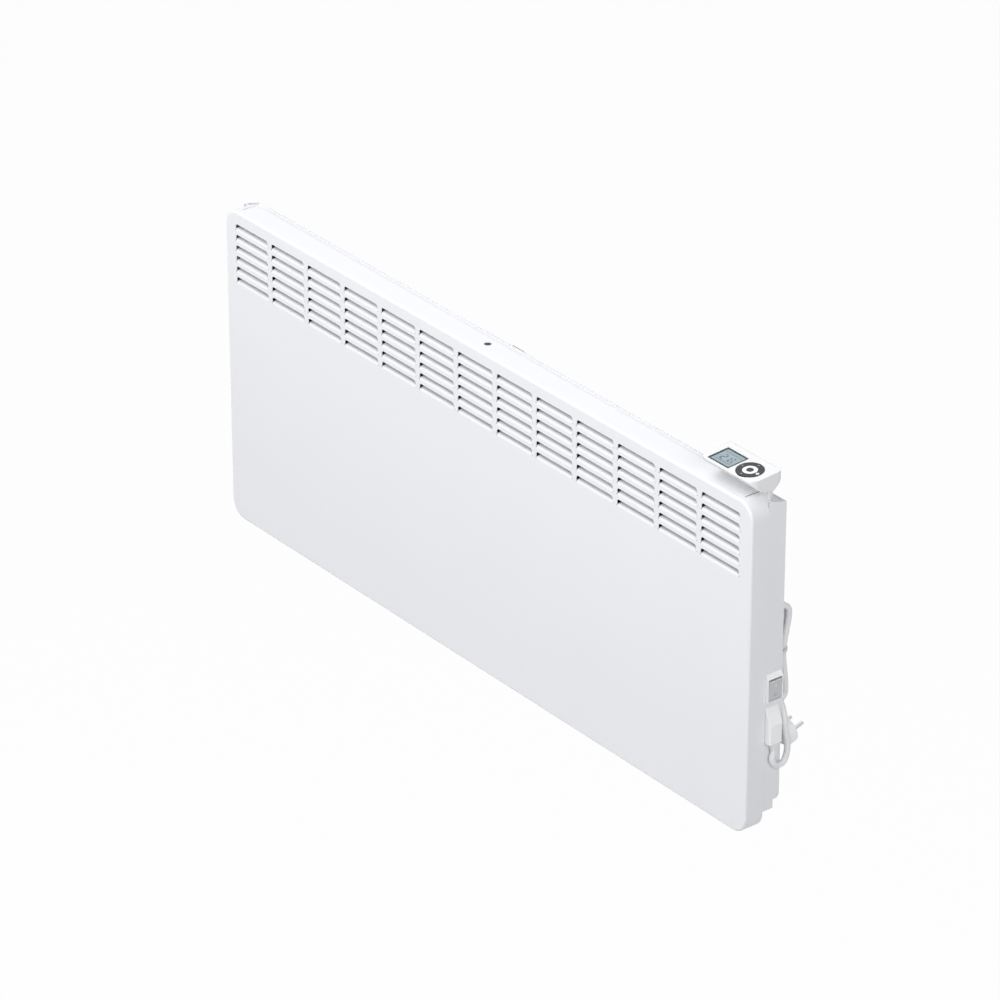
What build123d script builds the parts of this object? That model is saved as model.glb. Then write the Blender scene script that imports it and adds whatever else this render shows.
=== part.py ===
from build123d import *
import os
from math import cos, radians, sin, sqrt

# Wall panel convector heater. Millimetres, +Z up, +X to the viewer's right, +Y into the wall.
# The origin is the middle of the wall bracket's four screw holes, on the wall plane (y = 0).

# ---------------------------------------------------------------- casing
cover_width = 1050.0
cover_height = 450.0
overall_depth = 100.0  # front face to wall
casing_depth = 53.5  # front face to the casing's rear wall
casing_middle_z = -60.0  # middle of the front panel, below the middle of the bracket
sheet = 1.0  # steel sheet of the cover and the casing
corner_radius = 24.0  # corners of the front panel, seen from the front
fold_radius = 3.0  # outside of the fold round the front panel
top_flange = 32.0  # depth of the cover's top edge
side_flange = 27.0  # depth of the cover's side and bottom edges
seam_width = 1.2
seam_start = 9.5  # from the front face
release_hole_radius = 4.75
release_hole_depth = 20.0  # from the front face
nest_gap = 0.2  # between the cover and the casing's rim inside it
rim_start = 17.0  # the rim reaches this near to the front face
rod_sides = 8
fixing_sides = 8  # screws and rivets
sliver = 1e-6  # overlap that makes neighbouring solids join

# ---------------------------------------------------------------- louvres
louvre_rows = 6
louvre_pitch_x = 78.0
louvre_pitch_z = 15.1
louvre_length = 70.0
louvre_margin = 10.0  # from the cover's sides to the nearest column's pitch
louvre_slot = 9.5
louvre_top = 17.3  # from the top of the cover to the first slot
louvre_corner = 2.5
louvre_bend = 3.0  # outside radius of the vane's bend
louvre_angle = 74.0
louvre_tip = 5.0  # straight part of the vane
louvre_end_gap = 0.4
relief_size = 1.3  # square notch at each end of the vane's bend
bend_facets = 2
corner_facets = 1

# ---------------------------------------------------------------- casing's side outline
side_top = 5.5  # below the top of the cover
side_top_flat_to = 33.5  # from the front face
rear_top = 10.1  # below the top of the cover
rear_bottom = 41.0  # above the bottom of the cover
rear_bottom_chamfer = 3.5
step_depth = 44.0  # from the front face
step_upper = 37.5  # above the bottom of the cover
step_lower = 25.4
gutter_depth = 12.0  # the top wall lies this far below the cover's top
inlet_pitch = 38.0
inlet_length = 30.0
inlet_width = 8.0
slot_facets = 2
bead_length = 260.0
bead_depth = 1.6
bead_width = 14.0
bead_rows = (70.0, 320.0, 375.0)  # below the top of the cover
bead_place = 0.63  # share of half the width

screw_radius = 2.0
screw_row = 22.0  # cover screws, behind the front face
screw_inset = 85.0  # outer screws, from the cover's sides
screw_inner = 150.0  # inner screws, from the middle
screw_head_radius = 3.8
screw_head = 2.2
screw_length = 8.0

# ---------------------------------------------------------------- wall bracket
bracket_holes_x = 480.0
bracket_drop = 250.0  # the screw holes' height is this much less than the cover's
bracket_hole_radius = 3.25
rail_end = 40.0  # rail beyond its outer holes
rail_height = 34.0
rail_sheet = 1.5
rail_lip = 11.0
rail_window = 90.0
rail_window_depth = 3.0  # web left beside each window
upright_width = 40.0
upright_inset = 55.0  # from the holes towards the middle
rivet_radius = 2.0
rivet_head = 1.0
slot_share = 0.55  # length of an upright's slot, of the holes' spacing
hook_spacing = 400.0
hook_width = 24.0
hook_reach = 5.0
hook_height = 9.0
hook_lift = 4.0  # room over a hook in its slot
hook_rise = 10.0  # hooks above the lower screw holes
seat_gap = 0.3  # between pieces that are held but not tight
latch_width = 22.0
latch_travel = 5.0
latch_nib = 4.0
latch_sheet = 2.0
latch_window = 16.0
latch_window_drop = 5.0  # below the casing's top wall
latch_catch = 1.0  # the nib reaches this far over the window's edge
latch_room = 1.0  # under the latch when it is pressed
latch_reach = 12.0  # the tongue starts this far behind the front face
latch_foot = 16.0  # foot above the upper rail
guide_half = 22.0
guide_stand_off = 15.0  # guide's back behind the casing's rear wall
guide_wall = 2.0
spring_wire = 0.9
spring_radius = 4.0
spring_turns = 3
spring_sides = 4
spring_set_back = 8.3  # spring's axis in front of the guide's back
guide_clearance = 0.3
guide_foot = 14.0
guide_rib = 12.0
guide_rib_width = 3.0
guide_stop = 8.0
guide_stop_sheet = 1.2
latch_shoulder = 3.0  # tongue narrower than the plate, each side
latch_nib_length = 8.0
latch_target_radius = 5.0
latch_target = 1.2
spring_pin = 5.0
spring_pin_gap = 0.6
spring_end_gap = 0.1

# ---------------------------------------------------------------- heating parts
element_height = 120.0  # above the bottom of the cover
element_y = 26.5  # behind the front face
element_inset_left = 85.0  # from the cover's sides
element_inset_right = 100.0
rod_radius = 4.25
rod_spacing = 28.0
rod_gap = 0.1
rod_end = 16.0  # terminals beyond the right bush
rod_overhang = 6.0  # straight part before the half turn
core_wall = 2.6
fin_reach_y = 19.0
fin_reach_z = 13.0
fin_thickness = 1.8
fin_flat = 2.0  # drop of the flatter fins' tips
expansion_margin = 1.5
expansion_slots = 4
expansion_slot = 2.0
bracket_sheet = 1.2
holder_half = 40.0
holder_front = 8.0  # behind the front face
holder_round = 6.0
holder_foot = 15.0
holder_gap = 4.0  # between the element's body and its holders
bush_radius = 7.0
bush_length = 9.0
bush_flange = 1.5  # thickness, and how far it stands out
bush_front = 1.5  # collar beyond the holder
bush_rear = 2.5
shield_gap = 5.0
shield_sheet = 0.8
shield_inset = 12.0
shield_low = 55.0  # below the element's middle
shield_high = 65.0
shield_foot = 6.0
shield_foot_inner = 130.0  # inner feet, from the middle
shield_foot_inset = 60.0  # outer feet, from the element's ends
deflector_half_gap = 60.0
deflector_drop = 14.0
deflector_end = 8.0  # short of the partition
deflector_overhang = 30.0  # beyond the element's left end
deflector_rise = 18.0
deflector_set_back = 6.0  # behind the cover's top edge
partition_inset = 79.0  # from the cover's right side
partition_flange = 9.0
partition_front = 10.0  # behind the front face
partition_flange_drop = 25.0
partition_hole_gap = 1.5
cutout_x = 52.0
cutout_rise = 52.0  # above the element's middle
cutout_depth = 28.0  # behind the front face
cutout_radius = 8.0
cutout_sheet = 1.0

# ---------------------------------------------------------------- wiring space
terminal_inset = 21.8  # from the casing's right side
terminal_width = 36.0
terminal_height = 22.0
terminal_depth = 16.0
terminal_pitch = 11.0
terminal_drop = 4.0  # below the cord's hole
terminal_hole = 2.6
board_inset = 7.8
board_width = 60.0
board_from_top = 125.0
board_height = 90.0
board_sheet = 1.6
standoff = 7.0
standoff_inset = 4.0
standoff_neck = 1.5
capacitor_radius = 5.5
sensor_inset = 37.8
sensor_depth = 36.0
sensor_radius = 2.4
sensor_length = 17.0
sensor_lift = 3.0  # above the casing's floor

# ---------------------------------------------------------------- control housing
pod_inset = 1.0  # from the cover's right side
pod_width = 95.0
pod_depth = 48.5
pod_top = 32.2  # height of the top face above the cover, where the tilt turns
pod_tilt_at = 30.0  # from the front face
pod_tilt = 3.7
pod_wall = 2.0
pod_corner = 10.0
pod_parting = 9.0  # below the top face
pod_nose = 0.3  # corners of the side view, from the front face and above the cover
pod_nose_low = 26.6
pod_lip = 5.0
pod_back_low = 22.5
pod_back_inset = 1.8
pod_heel = 33.0
pod_heel_height = 10.4
pod_belly = 16.5
pod_belly_height = 12.3
pod_chin = 7.0
pod_chin_height = 19.4
pod_rounds = (1.5, 2.0, 6.0, 3.5, 4.0, 4.0, 3.0, 6.0)
neck_inset = 10.0
neck_width = 40.0
neck_front = 33.2
neck_rear = 40.4
neck_round = 2.0
neck_height = 18.0  # above the cover, before the housing's underside cuts it
display_inset = 66.6
display_y = 18.3
display_width = 37.0
display_height = 32.0
display_rim = 1.8
display_frame_height = 3.0
window_sheet = 1.6
window_drop = 0.6
module_margin_x = 2.0
module_margin_y = 9.0
keypad_inset = 27.3
keypad_y = 18.2
ring_outer = 17.0
ring_inner = 9.6
key_gap = 0.3
key_proud = 0.6
key_height = 3.6
key_travel = 0.5
centre_key_radius = 4.2
centre_key_proud = 0.7
collar_proud = 0.3
dome_radius = 1.1
centre_dome_radius = 2.6
dome_inset = 1.8  # from the ring's inner edge
dome_gap = 0.2
board_drop = 7.5  # circuit board below the housing's top face
control_board_depth = 36.0
control_board_y = 24.5
pillar_radius = 3.0
pillar_inset = 12.0

# ---------------------------------------------------------------- rocker switch on the right side
switch_middle_z = 254.5  # below the top of the cover
switch_middle_y = 39.3
switch_height = 38.0
switch_width = 24.0
switch_proud = 5.0
switch_box = 20.0
switch_floor = 6.0
rocker_height = 29.0
rocker_width = 19.6
rocker_gap = 0.4
rocker_tilt = 4.0
rocker_shift = 1.75  # the rocker sits this far below the frame's middle
rocker_edge = 1.2
pivot_depth = 3.0  # behind the casing's side
pivot_radius = 1.6
pivot_gap = 0.05
pivot_cover = 0.5  # frame left over the pivot holes
pin_play = 0.3
rocker_back = 3.0
rocker_taper = 3.0  # the rocker's back is this much shorter at each end
frame_lip = 1.5
tab_spacing = 8.0
tab_length = 7.0
tab_half = 2.4
tab_sheet = 0.8

# ---------------------------------------------------------------- cord entry
entry_top = 282.0
entry_shoulder = 302.8
entry_bottom = 328.5
entry_front = 28.0
entry_rear = 48.0
entry_floor = 2.0
entry_side = 2.5
entry_proud = 10.0
entry_wall = 1.6
entry_round = 2.0
entry_hole_radius = 6.0
entry_hole_y = 38.0
entry_hole_z = 312.0
cord_radius = 4.0
cord_sides = 8
gland_length = 9.5  # below the housing
gland_inside = 12.0  # above the housing's underside
gland_size = 11.6
gland_end_size = 9.4
gland_corner = 3.0
gland_thickness = 9.6
gland_taper = 0.8
gland_y = 39.0
gland_stand_out = 5.0  # cord axis from the casing's side
gland_neck_x = 3.3
gland_neck_y = 4.6
gland_neck_gap = 0.1
gland_lip = 1.2
gland_lip_height = 3.0

# ---------------------------------------------------------------- the cord's loop below the housing
loop_start = 5.0  # straight run out of the gland
loop_down = 14.0  # from the gland's end to the foremost corner
loop_drop = 25.0  # from the gland's end to the loop's lowest corners
loop_front = 35.5  # corners of the loop, from the front face
loop_low_front = 42.5
loop_low_rear = 55.0
loop_rear = 60.5
loop_back = 58.8  # the leg that goes up
loop_back_high = 55.2
loop_entry = 57.6  # corner behind the casing
loop_rear_rise = 15.0  # corner above the lowest ones
loop_middle = 7.0  # the back leg's middle corner above the gland's end
loop_rise = 25.0  # the back leg's upper corner above the gland's end
loop_entry_rise = 41.0
loop_lean = 0.8  # the back leg stands this much further out
loop_entry_inset = 3.8
loop_start_run = 15.0

# ---------------------------------------------------------------- cord hank and plug
hank_turns = 3
hank_step = 9.4
hank_inset = 23.8  # outer turn, from the casing's right side
hank_y = 70.4
hank_top_z = 179.0  # height of the upper bends' middle, below the top of the cover
hank_waist_z = 226.0
hank_bottom_z = 285.0
hank_start_z = 256.0
hank_end_z = 280.0
hank_top_radius = 12.4
hank_bottom_radius = 9.6
hank_waist_half = 4.7
gap_own = 40.0  # stretches nearer than this along the cord are not compared
gap_step = 2.0
tie_width = 5.0
tie_sheet = 0.8
tie_gap = 0.45
tail_down = 15.0  # corners of the cord's tail, from the hank's end
tail_left = 23.5
tail_drop = 25.8
tail_forward = 2.5
tail_end_run = 22.8
plug_radius = 19.0
plug_thickness = 12.0
plug_turn = 5.9  # pins towards the left
plug_tip = 12.7  # pins upwards
plug_inset = 13.0
plug_y = 74.0
plug_z = 329.9
plug_grip = 25.0  # from the plug's middle to the grip's end
grip_start = 0.55  # share of the plug's radius
grip_width = 20.0
grip_thickness = 7.4
grip_corner = 3.0
grip_end_width = 10.8
grip_end_thickness = 10.4
grip_end_corner = 4.5
plug_facets = 24
plug_dome = 2.5
plug_dome_taper = 42.0
pin_radius = 2.4
pin_length = 19.0
pin_spacing = 19.0
clip_width = 5.0
clip_sheet = 1.2
clip_proud = 2.5
clip_inset = 3.0

# ---------------------------------------------------------------- derived places
front_y = -overall_depth
top_z = casing_middle_z + cover_height / 2
bottom_z = casing_middle_z - cover_height / 2
half_width = cover_width / 2
bracket_holes_z = cover_height - bracket_drop
casing_half = half_width - sheet - nest_gap  # outside of the casing's side walls
rear_y = front_y + casing_depth  # outside of the rear wall
corner_x = half_width - corner_radius
louvre_columns = int((cover_width - 2 * louvre_margin) / louvre_pitch_x)
inlet_count = int((cover_width - 2 * corner_radius - 2 * inlet_length) / inlet_pitch) - 1
screw_places = [screw_inset - half_width, -screw_inner, screw_inner, half_width - screw_inset]
hook_places = [-hook_spacing / 2, hook_spacing / 2]
element_middle = (front_y + element_y, bottom_z + element_height)
element_left = element_inset_left - half_width
element_right = half_width - element_inset_right
partition_x = half_width - partition_inset
rail_length = bracket_holes_x + 2 * rail_end
upright_x = bracket_holes_x / 2 - upright_inset
lower_hook_z = -bracket_holes_z / 2 + hook_rise
guide_back = rear_y + guide_stand_off
spring_y = guide_back - spring_set_back
rail_top = bracket_holes_z / 2 + rail_height / 2
latch_window_high = top_z - gutter_depth - sheet - latch_window_drop
latch_window_low = latch_window_high - latch_window
rail_front = rear_y + bead_depth + seat_gap  # the rails stop just short of the casing
tongue_z = latch_window_high - latch_nib - latch_sheet + latch_catch
latch_foot_z = rail_top + rail_sheet + latch_foot
board_high = top_z - board_from_top
board_low = board_high - board_height
board_right = casing_half - board_inset
board_left = board_right - board_width
terminal_right = casing_half - terminal_inset
sensor_x = casing_half - sensor_inset
pod_right = half_width - pod_inset
pod_middle = pod_right - pod_width / 2
neck_right = half_width - neck_inset
display_x = half_width - display_inset
keypad_x = half_width - keypad_inset
pivot_x = casing_half - pivot_depth
switch_hole_y = switch_width - 2.0
switch_hole_z = switch_height - 3.0
cord_x = casing_half + gland_stand_out
hank_outer_x = casing_half - hank_inset
plug_x = casing_half - plug_inset


def from_front(distance):
    return front_y + distance


def from_top(distance):
    return top_z - distance


def from_bottom(distance):
    return bottom_z + distance


def block(x0, x1, y0, y1, z0, z1):
    """A box between two corners."""
    middle = Pos((x0 + x1) / 2, (y0 + y1) / 2, (z0 + z1) / 2)
    return middle * Box(abs(x1 - x0), abs(y1 - y0), abs(z1 - z0))


def slab(outline, y0, y1, z=0.0, x=0.0):
    """A flat outline in X and Z, made solid from y0 to y1."""
    plane = Plane((x, y1, z), x_dir=(1, 0, 0), z_dir=(0, -1, 0))
    return extrude(plane * outline, amount=y1 - y0)


def side_prism(outline, x0, x1):
    """A flat outline in Y and Z, made solid from x0 to x1."""
    plane = Plane((x0, 0, 0), x_dir=(0, 1, 0), z_dir=(1, 0, 0))
    return extrude(plane * outline, amount=x1 - x0)


def polygon(points):
    return make_face(Polyline(*points, close=True))


def rod_x(radius, x0, x1, y, z, sides=rod_sides):
    """A many-sided bar along X."""
    return Pos(x0, y, z) * Rot(0, 90, 0) * extrude(RegularPolygon(radius, sides), amount=x1 - x0)


def rod_y(radius, y0, y1, x, z, sides=rod_sides):
    """A many-sided bar along Y."""
    return Pos(x, y1, z) * Rot(90, 0, 0) * extrude(RegularPolygon(radius, sides), amount=y1 - y0)


def rod_z(radius, z0, z1, x, y, sides=rod_sides):
    """A many-sided bar along Z."""
    return Pos(x, y, z0) * extrude(RegularPolygon(radius, sides), amount=z1 - z0)


def turned_y(radius, y0, y1, x, z):
    """A true round bar along Y, for holes and pins that others fit."""
    return Pos(x, (y0 + y1) / 2, z) * Rot(90, 0, 0) * Cylinder(radius, y1 - y0)


def turned_z(radius, z0, z1, x, y):
    """A true round bar along Z."""
    return Pos(x, y, (z0 + z1) / 2) * Cylinder(radius, z1 - z0)


def arc_points(middle, radius, first, last, count):
    """Points on an arc, in order; angles in degrees from the first axis."""
    turns = [radians(first + (last - first) * number / count) for number in range(count + 1)]
    return [(middle[0] + radius * cos(turn), middle[1] + radius * sin(turn)) for turn in turns]


def slot_outline(length, width):
    """A slot with faceted round ends, long side along its first axis."""
    straight = (length - width) / 2
    right = arc_points((straight, 0), width / 2, -90, 90, slot_facets)
    left = arc_points((-straight, 0), width / 2, 90, 270, slot_facets)
    return polygon(right + left)


def both_sides(solid):
    return [solid, mirror(solid, about=Plane.YZ)]


# ================================================================ front cover
def vane_profile():
    """Section of one vane: it bends inwards from the panel's face, then runs straight."""
    hinge = (louvre_bend, 0)
    outer = arc_points(hinge, louvre_bend, 180, 180 - louvre_angle, bend_facets)
    inner = arc_points(hinge, louvre_bend - sheet, 180, 180 - louvre_angle, bend_facets)
    along_y = louvre_tip * sin(radians(louvre_angle))
    along_z = louvre_tip * cos(radians(louvre_angle))
    outer.append((outer[-1][0] + along_y, outer[-1][1] + along_z))
    inner.append((inner[-1][0] + along_y, inner[-1][1] + along_z))
    return polygon(outer + inner[::-1])


def louvre_slot_cut(x, lip_z):
    """The opening of one louvre, with rounded upper corners and a relief notch at each lower one."""
    half = louvre_length / 2
    high = louvre_slot / 2
    inner = half - louvre_corner
    left = arc_points((-inner, high - louvre_corner), louvre_corner, 180, 90, corner_facets)
    right = arc_points((inner, high - louvre_corner), louvre_corner, 90, 0, corner_facets)
    low = relief_size - high
    right_notch = [(half, low), (half + relief_size, low), (half + relief_size, -high), (half, -high)]
    left_notch = [(-place, height) for place, height in right_notch[::-1]]
    outline = polygon(left + right + right_notch + left_notch)
    return slab(outline, front_y - 1, front_y + sheet + 1, lip_z - high, x)


def louvre_vane(x, lip_z):
    half = louvre_length / 2 - louvre_end_gap
    section = Pos(front_y, lip_z - louvre_slot) * vane_profile()
    return side_prism(section, x - half, x + half)


def cover_tray():
    """The folded tray: front panel, flanges all round, rounded folds and corners."""
    outline = RectangleRounded(cover_width, cover_height, corner_radius)
    outer = slab(outline, front_y, from_front(top_flange), casing_middle_z)
    outer = fillet(outer.edges().group_by(Axis.Y)[0], fold_radius)
    hollow = RectangleRounded(cover_width - 2 * sheet, cover_height - 2 * sheet, corner_radius - sheet)
    inner = slab(hollow, front_y + sheet, from_front(top_flange) + 1, casing_middle_z)
    inner = fillet(inner.edges().group_by(Axis.Y)[0], fold_radius - sheet)
    return outer - inner


def rear_edge_trim():
    """What is cut from the cover's rear edge: it is less deep at the sides and bottom than on top."""
    deep = from_front(top_flange)
    shallow = from_front(side_flange)
    beyond = half_width + 1
    over = deep + 1
    slope = [(corner_x, deep), (half_width, shallow)]
    wedge = polygon(slope + [(beyond, shallow), (beyond, over), (corner_x, over)])
    side = Pos(0, 0, bottom_z - 1) * extrude(wedge, amount=cover_height + 2)
    bottom = block(-half_width - 1, half_width + 1, shallow, deep + 1, bottom_z - 1, bottom_z + corner_radius)
    return both_sides(side) + [bottom]


def make_front_cover():
    """Folded cover with its corner seams, release hole, screw holes and louvres."""
    cover = cover_tray()
    for cut in rear_edge_trim():
        cover -= cut
    left = corner_x - seam_width
    start = from_front(seam_start)
    seam = block(left, corner_x, start, from_front(top_flange) + 1, top_z - 2 * sheet, top_z + 1)
    lower_seam = block(left, corner_x, start, from_front(side_flange) + 1, bottom_z - 1, bottom_z + 2 * sheet)
    for cut in both_sides(seam) + both_sides(lower_seam):
        cover -= cut
    cover -= turned_z(release_hole_radius, top_z - 2 * sheet, top_z + 1, 0, from_front(release_hole_depth))
    for x in screw_places:
        hole = screw_radius + seat_gap
        cover -= rod_z(hole, bottom_z - 1, bottom_z + 2 * sheet, x, from_front(screw_row), fixing_sides)
    slots = []
    vanes = []
    for column in range(louvre_columns):
        for row in range(louvre_rows):
            x = (column - (louvre_columns - 1) / 2) * louvre_pitch_x
            lip_z = from_top(louvre_top + row * louvre_pitch_z)
            slots.append(louvre_slot_cut(x, lip_z))
            vanes.append(louvre_vane(x, lip_z))
    return cover - slots + vanes


# ================================================================ rear casing
def rim_outline(inset=0.0):
    margin = sheet + nest_gap + inset
    return RectangleRounded(cover_width - 2 * margin, cover_height - 2 * margin, corner_radius - margin)


def side_outline():
    """Outline of the casing's side walls behind the cover."""
    recede = (top_flange - side_flange) * (half_width - casing_half + sheet) / corner_radius
    start = from_front(side_flange) + nest_gap + recede
    corners = [
        (start, from_top(side_top)),
        (from_front(side_top_flat_to), from_top(side_top)),
        (rear_y, from_top(rear_top)),
        (rear_y, from_bottom(rear_bottom)),
        (rear_y - rear_bottom_chamfer, from_bottom(step_upper)),
        (from_front(step_depth), from_bottom(step_upper)),
        (from_front(step_depth), from_bottom(step_lower)),
        (start, from_bottom(step_lower)),
    ]
    return polygon(corners)


def casing_rim():
    """The rim that lies inside the cover, and the ledges that join it to the casing's walls."""
    inner = rim_outline(sheet)
    top_ledge = from_front(top_flange) + nest_gap
    low_ledge = from_front(side_flange) + nest_gap
    step = from_bottom(step_lower)
    gutter = from_top(gutter_depth + sheet)
    ring = slab(rim_outline() - inner, from_front(rim_start), top_ledge, casing_middle_z)
    ring -= block(-half_width, half_width, low_ledge, top_ledge + 1, bottom_z - 1, step + sliver)
    ledge = slab(rim_outline(), top_ledge, top_ledge + sheet, casing_middle_z)
    ledge = ledge & block(-half_width, half_width, top_ledge, top_ledge + sheet, gutter, top_z)
    ears = block(-casing_half, casing_half, top_ledge, top_ledge + sheet, gutter, from_top(side_top))
    lower = slab(rim_outline(), low_ledge, low_ledge + sheet, casing_middle_z)
    lower = lower & block(-half_width, half_width, low_ledge, low_ledge + sheet, bottom_z, step + sheet)
    return ring + ledge + ears + lower


def casing_wall(y0, y1, z0, z1):
    """A wall that runs the casing's whole width."""
    return block(-casing_half, casing_half, y0, y1, z0, z1)


def casing_walls():
    """Sides, rear, the gutter on top, and the stepped underside."""
    side = side_prism(side_outline(), casing_half - sheet, casing_half)
    low = from_bottom(rear_bottom)
    upper = from_bottom(step_upper)
    lower = from_bottom(step_lower)
    riser_y = from_front(step_depth)
    gutter = from_top(gutter_depth)
    walls = [
        casing_wall(rear_y - sheet, rear_y, low, from_top(rear_top)),
        casing_wall(from_front(top_flange) + nest_gap, rear_y, gutter - sheet, gutter),
        casing_wall(from_front(side_flange) + nest_gap, riser_y, lower, lower + sheet),
        casing_wall(riser_y - sheet, riser_y, lower, upper + sheet),
    ]
    step = polygon(
        [
            (riser_y - sheet, upper),
            (rear_y - rear_bottom_chamfer, upper),
            (rear_y, low),
            (rear_y - sheet, low + sheet),
            (rear_y - rear_bottom_chamfer - sheet / 2, upper + sheet),
            (riser_y - sheet, upper + sheet),
        ]
    )
    return both_sides(side) + walls + [side_prism(step, -casing_half, casing_half)]


def bead(length, x, z):
    """A pressed stiffening bead, as a round-ended bar to add outside and cut inside."""
    outline = slot_outline(length, bead_width)
    outside = slab(outline, rear_y - sliver, rear_y + bead_depth, z, x)
    inside = slab(offset(outline, amount=-sheet), rear_y - 2 * sheet, rear_y + bead_depth - sheet, z, x)
    return outside, inside


def wall_openings():
    """Hook slots, latch window, and the holes for the switch, the cord and the housing's wiring."""
    behind = rear_y - 2 * sheet
    cuts = []
    for x in hook_places:
        half = hook_width / 2 + 1
        high = lower_hook_z + hook_height + hook_lift
        cuts.append(block(x - half, x + half, behind, rear_y + 1, lower_hook_z - 1, high))
    half = latch_width / 2 + 1
    cuts.append(block(-half, half, behind, rear_y + 1, latch_window_low, latch_window_high))
    y, z = switch_place()
    inside = casing_half - 2 * sheet
    half_y = switch_hole_y / 2
    half_z = switch_hole_z / 2
    cuts.append(block(inside, casing_half + 1, y - half_y, y + half_y, z - half_z, z + half_z))
    entry_z = from_top(entry_hole_z)
    cuts.append(rod_x(entry_hole_radius, inside, casing_half + 1, from_front(entry_hole_y), entry_z))
    cuts.append(neck_bore(from_top(gutter_depth + 2 * sheet), from_top(gutter_depth) + 1))
    return cuts


def make_rear_casing():
    """Casing behind the cover, with beads, air inlets underneath and its openings."""
    casing = casing_rim()
    for wall in casing_walls():
        casing += wall
    for row in bead_rows:
        for side in (-1, 1):
            outside, inside = bead(bead_length, side * bead_place * half_width, from_top(row))
            casing = casing + outside - inside
    middle_y = from_front((side_flange + step_depth) / 2)
    for number in range(inlet_count):
        x = (number - (inlet_count - 1) / 2) * inlet_pitch
        place = Pos(x, middle_y, from_bottom(step_lower) - sheet)
        casing -= place * extrude(slot_outline(inlet_length, inlet_width), amount=3 * sheet)
    for cut in wall_openings():
        casing -= cut
    for x in screw_places:
        top = bottom_z + 3 * sheet + nest_gap
        casing -= rod_z(screw_radius, bottom_z, top, x, from_front(screw_row), fixing_sides)
    return casing


def make_cover_screws():
    screws = []
    for x in screw_places:
        shank = rod_z(screw_radius, bottom_z, bottom_z + screw_length, x, from_front(screw_row), fixing_sides)
        head = rod_z(screw_head_radius, bottom_z - screw_head, bottom_z, x, from_front(screw_row))
        head = chamfer(head.edges().group_by(Axis.Z)[0], screw_head / 2)
        screws.append(shank + head)
    return screws


# ================================================================ wall bracket
def rail_section(z_middle, sign):
    """A channel: a flange on the wall, a web and a lip that faces the casing; sign -1 turns it over."""
    half = rail_height / 2
    web = z_middle + sign * half
    inner = web - sign * rail_sheet
    lip = web - sign * rail_lip
    end = rail_length / 2
    rail = block(-end, end, -rail_sheet, 0, z_middle - half, z_middle + half)
    rail += block(-end, end, rail_front, 0, min(web, inner), max(web, inner))
    rail += block(-end, end, rail_front, rail_front + rail_sheet, min(web, lip), max(web, lip))
    for x in (-bracket_holes_x / 2, bracket_holes_x / 2):
        rail -= turned_y(bracket_hole_radius, -2 * rail_sheet, 1, x, z_middle)
    for x in (-rail_length / 4, rail_length / 4):
        half_window = rail_window / 2
        window_y = rail_front + rail_window_depth + rail_sheet
        window_end = -rail_window_depth - rail_sheet
        deep = 2 * rail_sheet
        rail -= block(x - half_window, x + half_window, window_y, window_end, web - deep, web + deep)
    return rail


def make_bracket_upper_rail():
    """The rail with a doubled web in its middle, under the latch."""
    rail = rail_section(bracket_holes_z / 2, 1)
    front = rail_front + rail_sheet
    return rail + block(-guide_half, guide_half, front, -rail_sheet, rail_top, rail_top + rail_sheet)


def make_bracket_lower_rail():
    """The rail with two hooks that the casing hangs on."""
    rail = rail_section(-bracket_holes_z / 2, -1)
    low = -rail_top
    tip_y = rear_y - sheet - seat_gap - hook_reach
    for x in hook_places:
        left = x - hook_width / 2
        right = x + hook_width / 2
        rail += block(left, right, rail_front, rail_front + rail_sheet, low, lower_hook_z + rail_sheet)
        rail += block(left, right, tip_y, rail_front + rail_sheet, lower_hook_z, lower_hook_z + rail_sheet)
        rail += block(left, right, tip_y, tip_y + rail_sheet, lower_hook_z, lower_hook_z + hook_height)
    return rail


def make_bracket_uprights():
    """Two strips that join the rails; each has a long relieving slot."""
    strips = []
    top = rail_top - rail_sheet
    slot = Rot(0, 0, 90) * slot_outline(bracket_holes_z * slot_share, upright_width * 0.4)
    for x in (-upright_x, upright_x):
        strip = slab(Rectangle(upright_width, 2 * top - seat_gap), -2 * rail_sheet, -rail_sheet, 0, x)
        strip -= slab(slot, -3 * rail_sheet, 0, 0, x)
        for z in (-bracket_holes_z / 2, bracket_holes_z / 2):
            for side in (-1, 1):
                place = x + side * upright_width / 4
                strip -= rod_y(rivet_radius, -3 * rail_sheet, 0, place, z, fixing_sides)
        strips.append(strip)
    return strips


def make_bracket_rivets():
    rivets = []
    for x in (-upright_x, upright_x):
        for z in (-bracket_holes_z / 2, bracket_holes_z / 2):
            for side in (-1, 1):
                place = x + side * upright_width / 4
                shank = rod_y(rivet_radius, -2 * rail_sheet, -rail_sheet, place, z, fixing_sides)
                back = -2 * rail_sheet
                head = rod_y(rivet_radius * 1.8, back - rivet_head, back, place, z, fixing_sides)
                rivets.append(shank + head)
    return rivets


def make_latch_guide():
    """A U-shaped guide on the upper rail that the latch slides up and down in."""
    low = rail_top + rail_sheet
    half = latch_width / 2 + guide_clearance
    wide = half + guide_wall
    slot_front = guide_back - latch_sheet - 2 * guide_clearance
    back = block(-wide, wide, guide_back, guide_back + guide_wall, low, tongue_z)
    cheeks = both_sides(block(half, wide, slot_front, guide_back, low, tongue_z))
    foot = block(-guide_half, guide_half, guide_back, guide_back + guide_foot, low, low + guide_wall)
    rib_half = guide_rib_width / 2
    rib = block(-rib_half, rib_half, guide_back, guide_back + guide_rib, low, low + guide_rib)
    stop = block(-wide, wide, slot_front - guide_stop_sheet, slot_front, low, low + guide_stop)
    return back + cheeks[0] + cheeks[1] + foot + rib + stop


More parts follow.
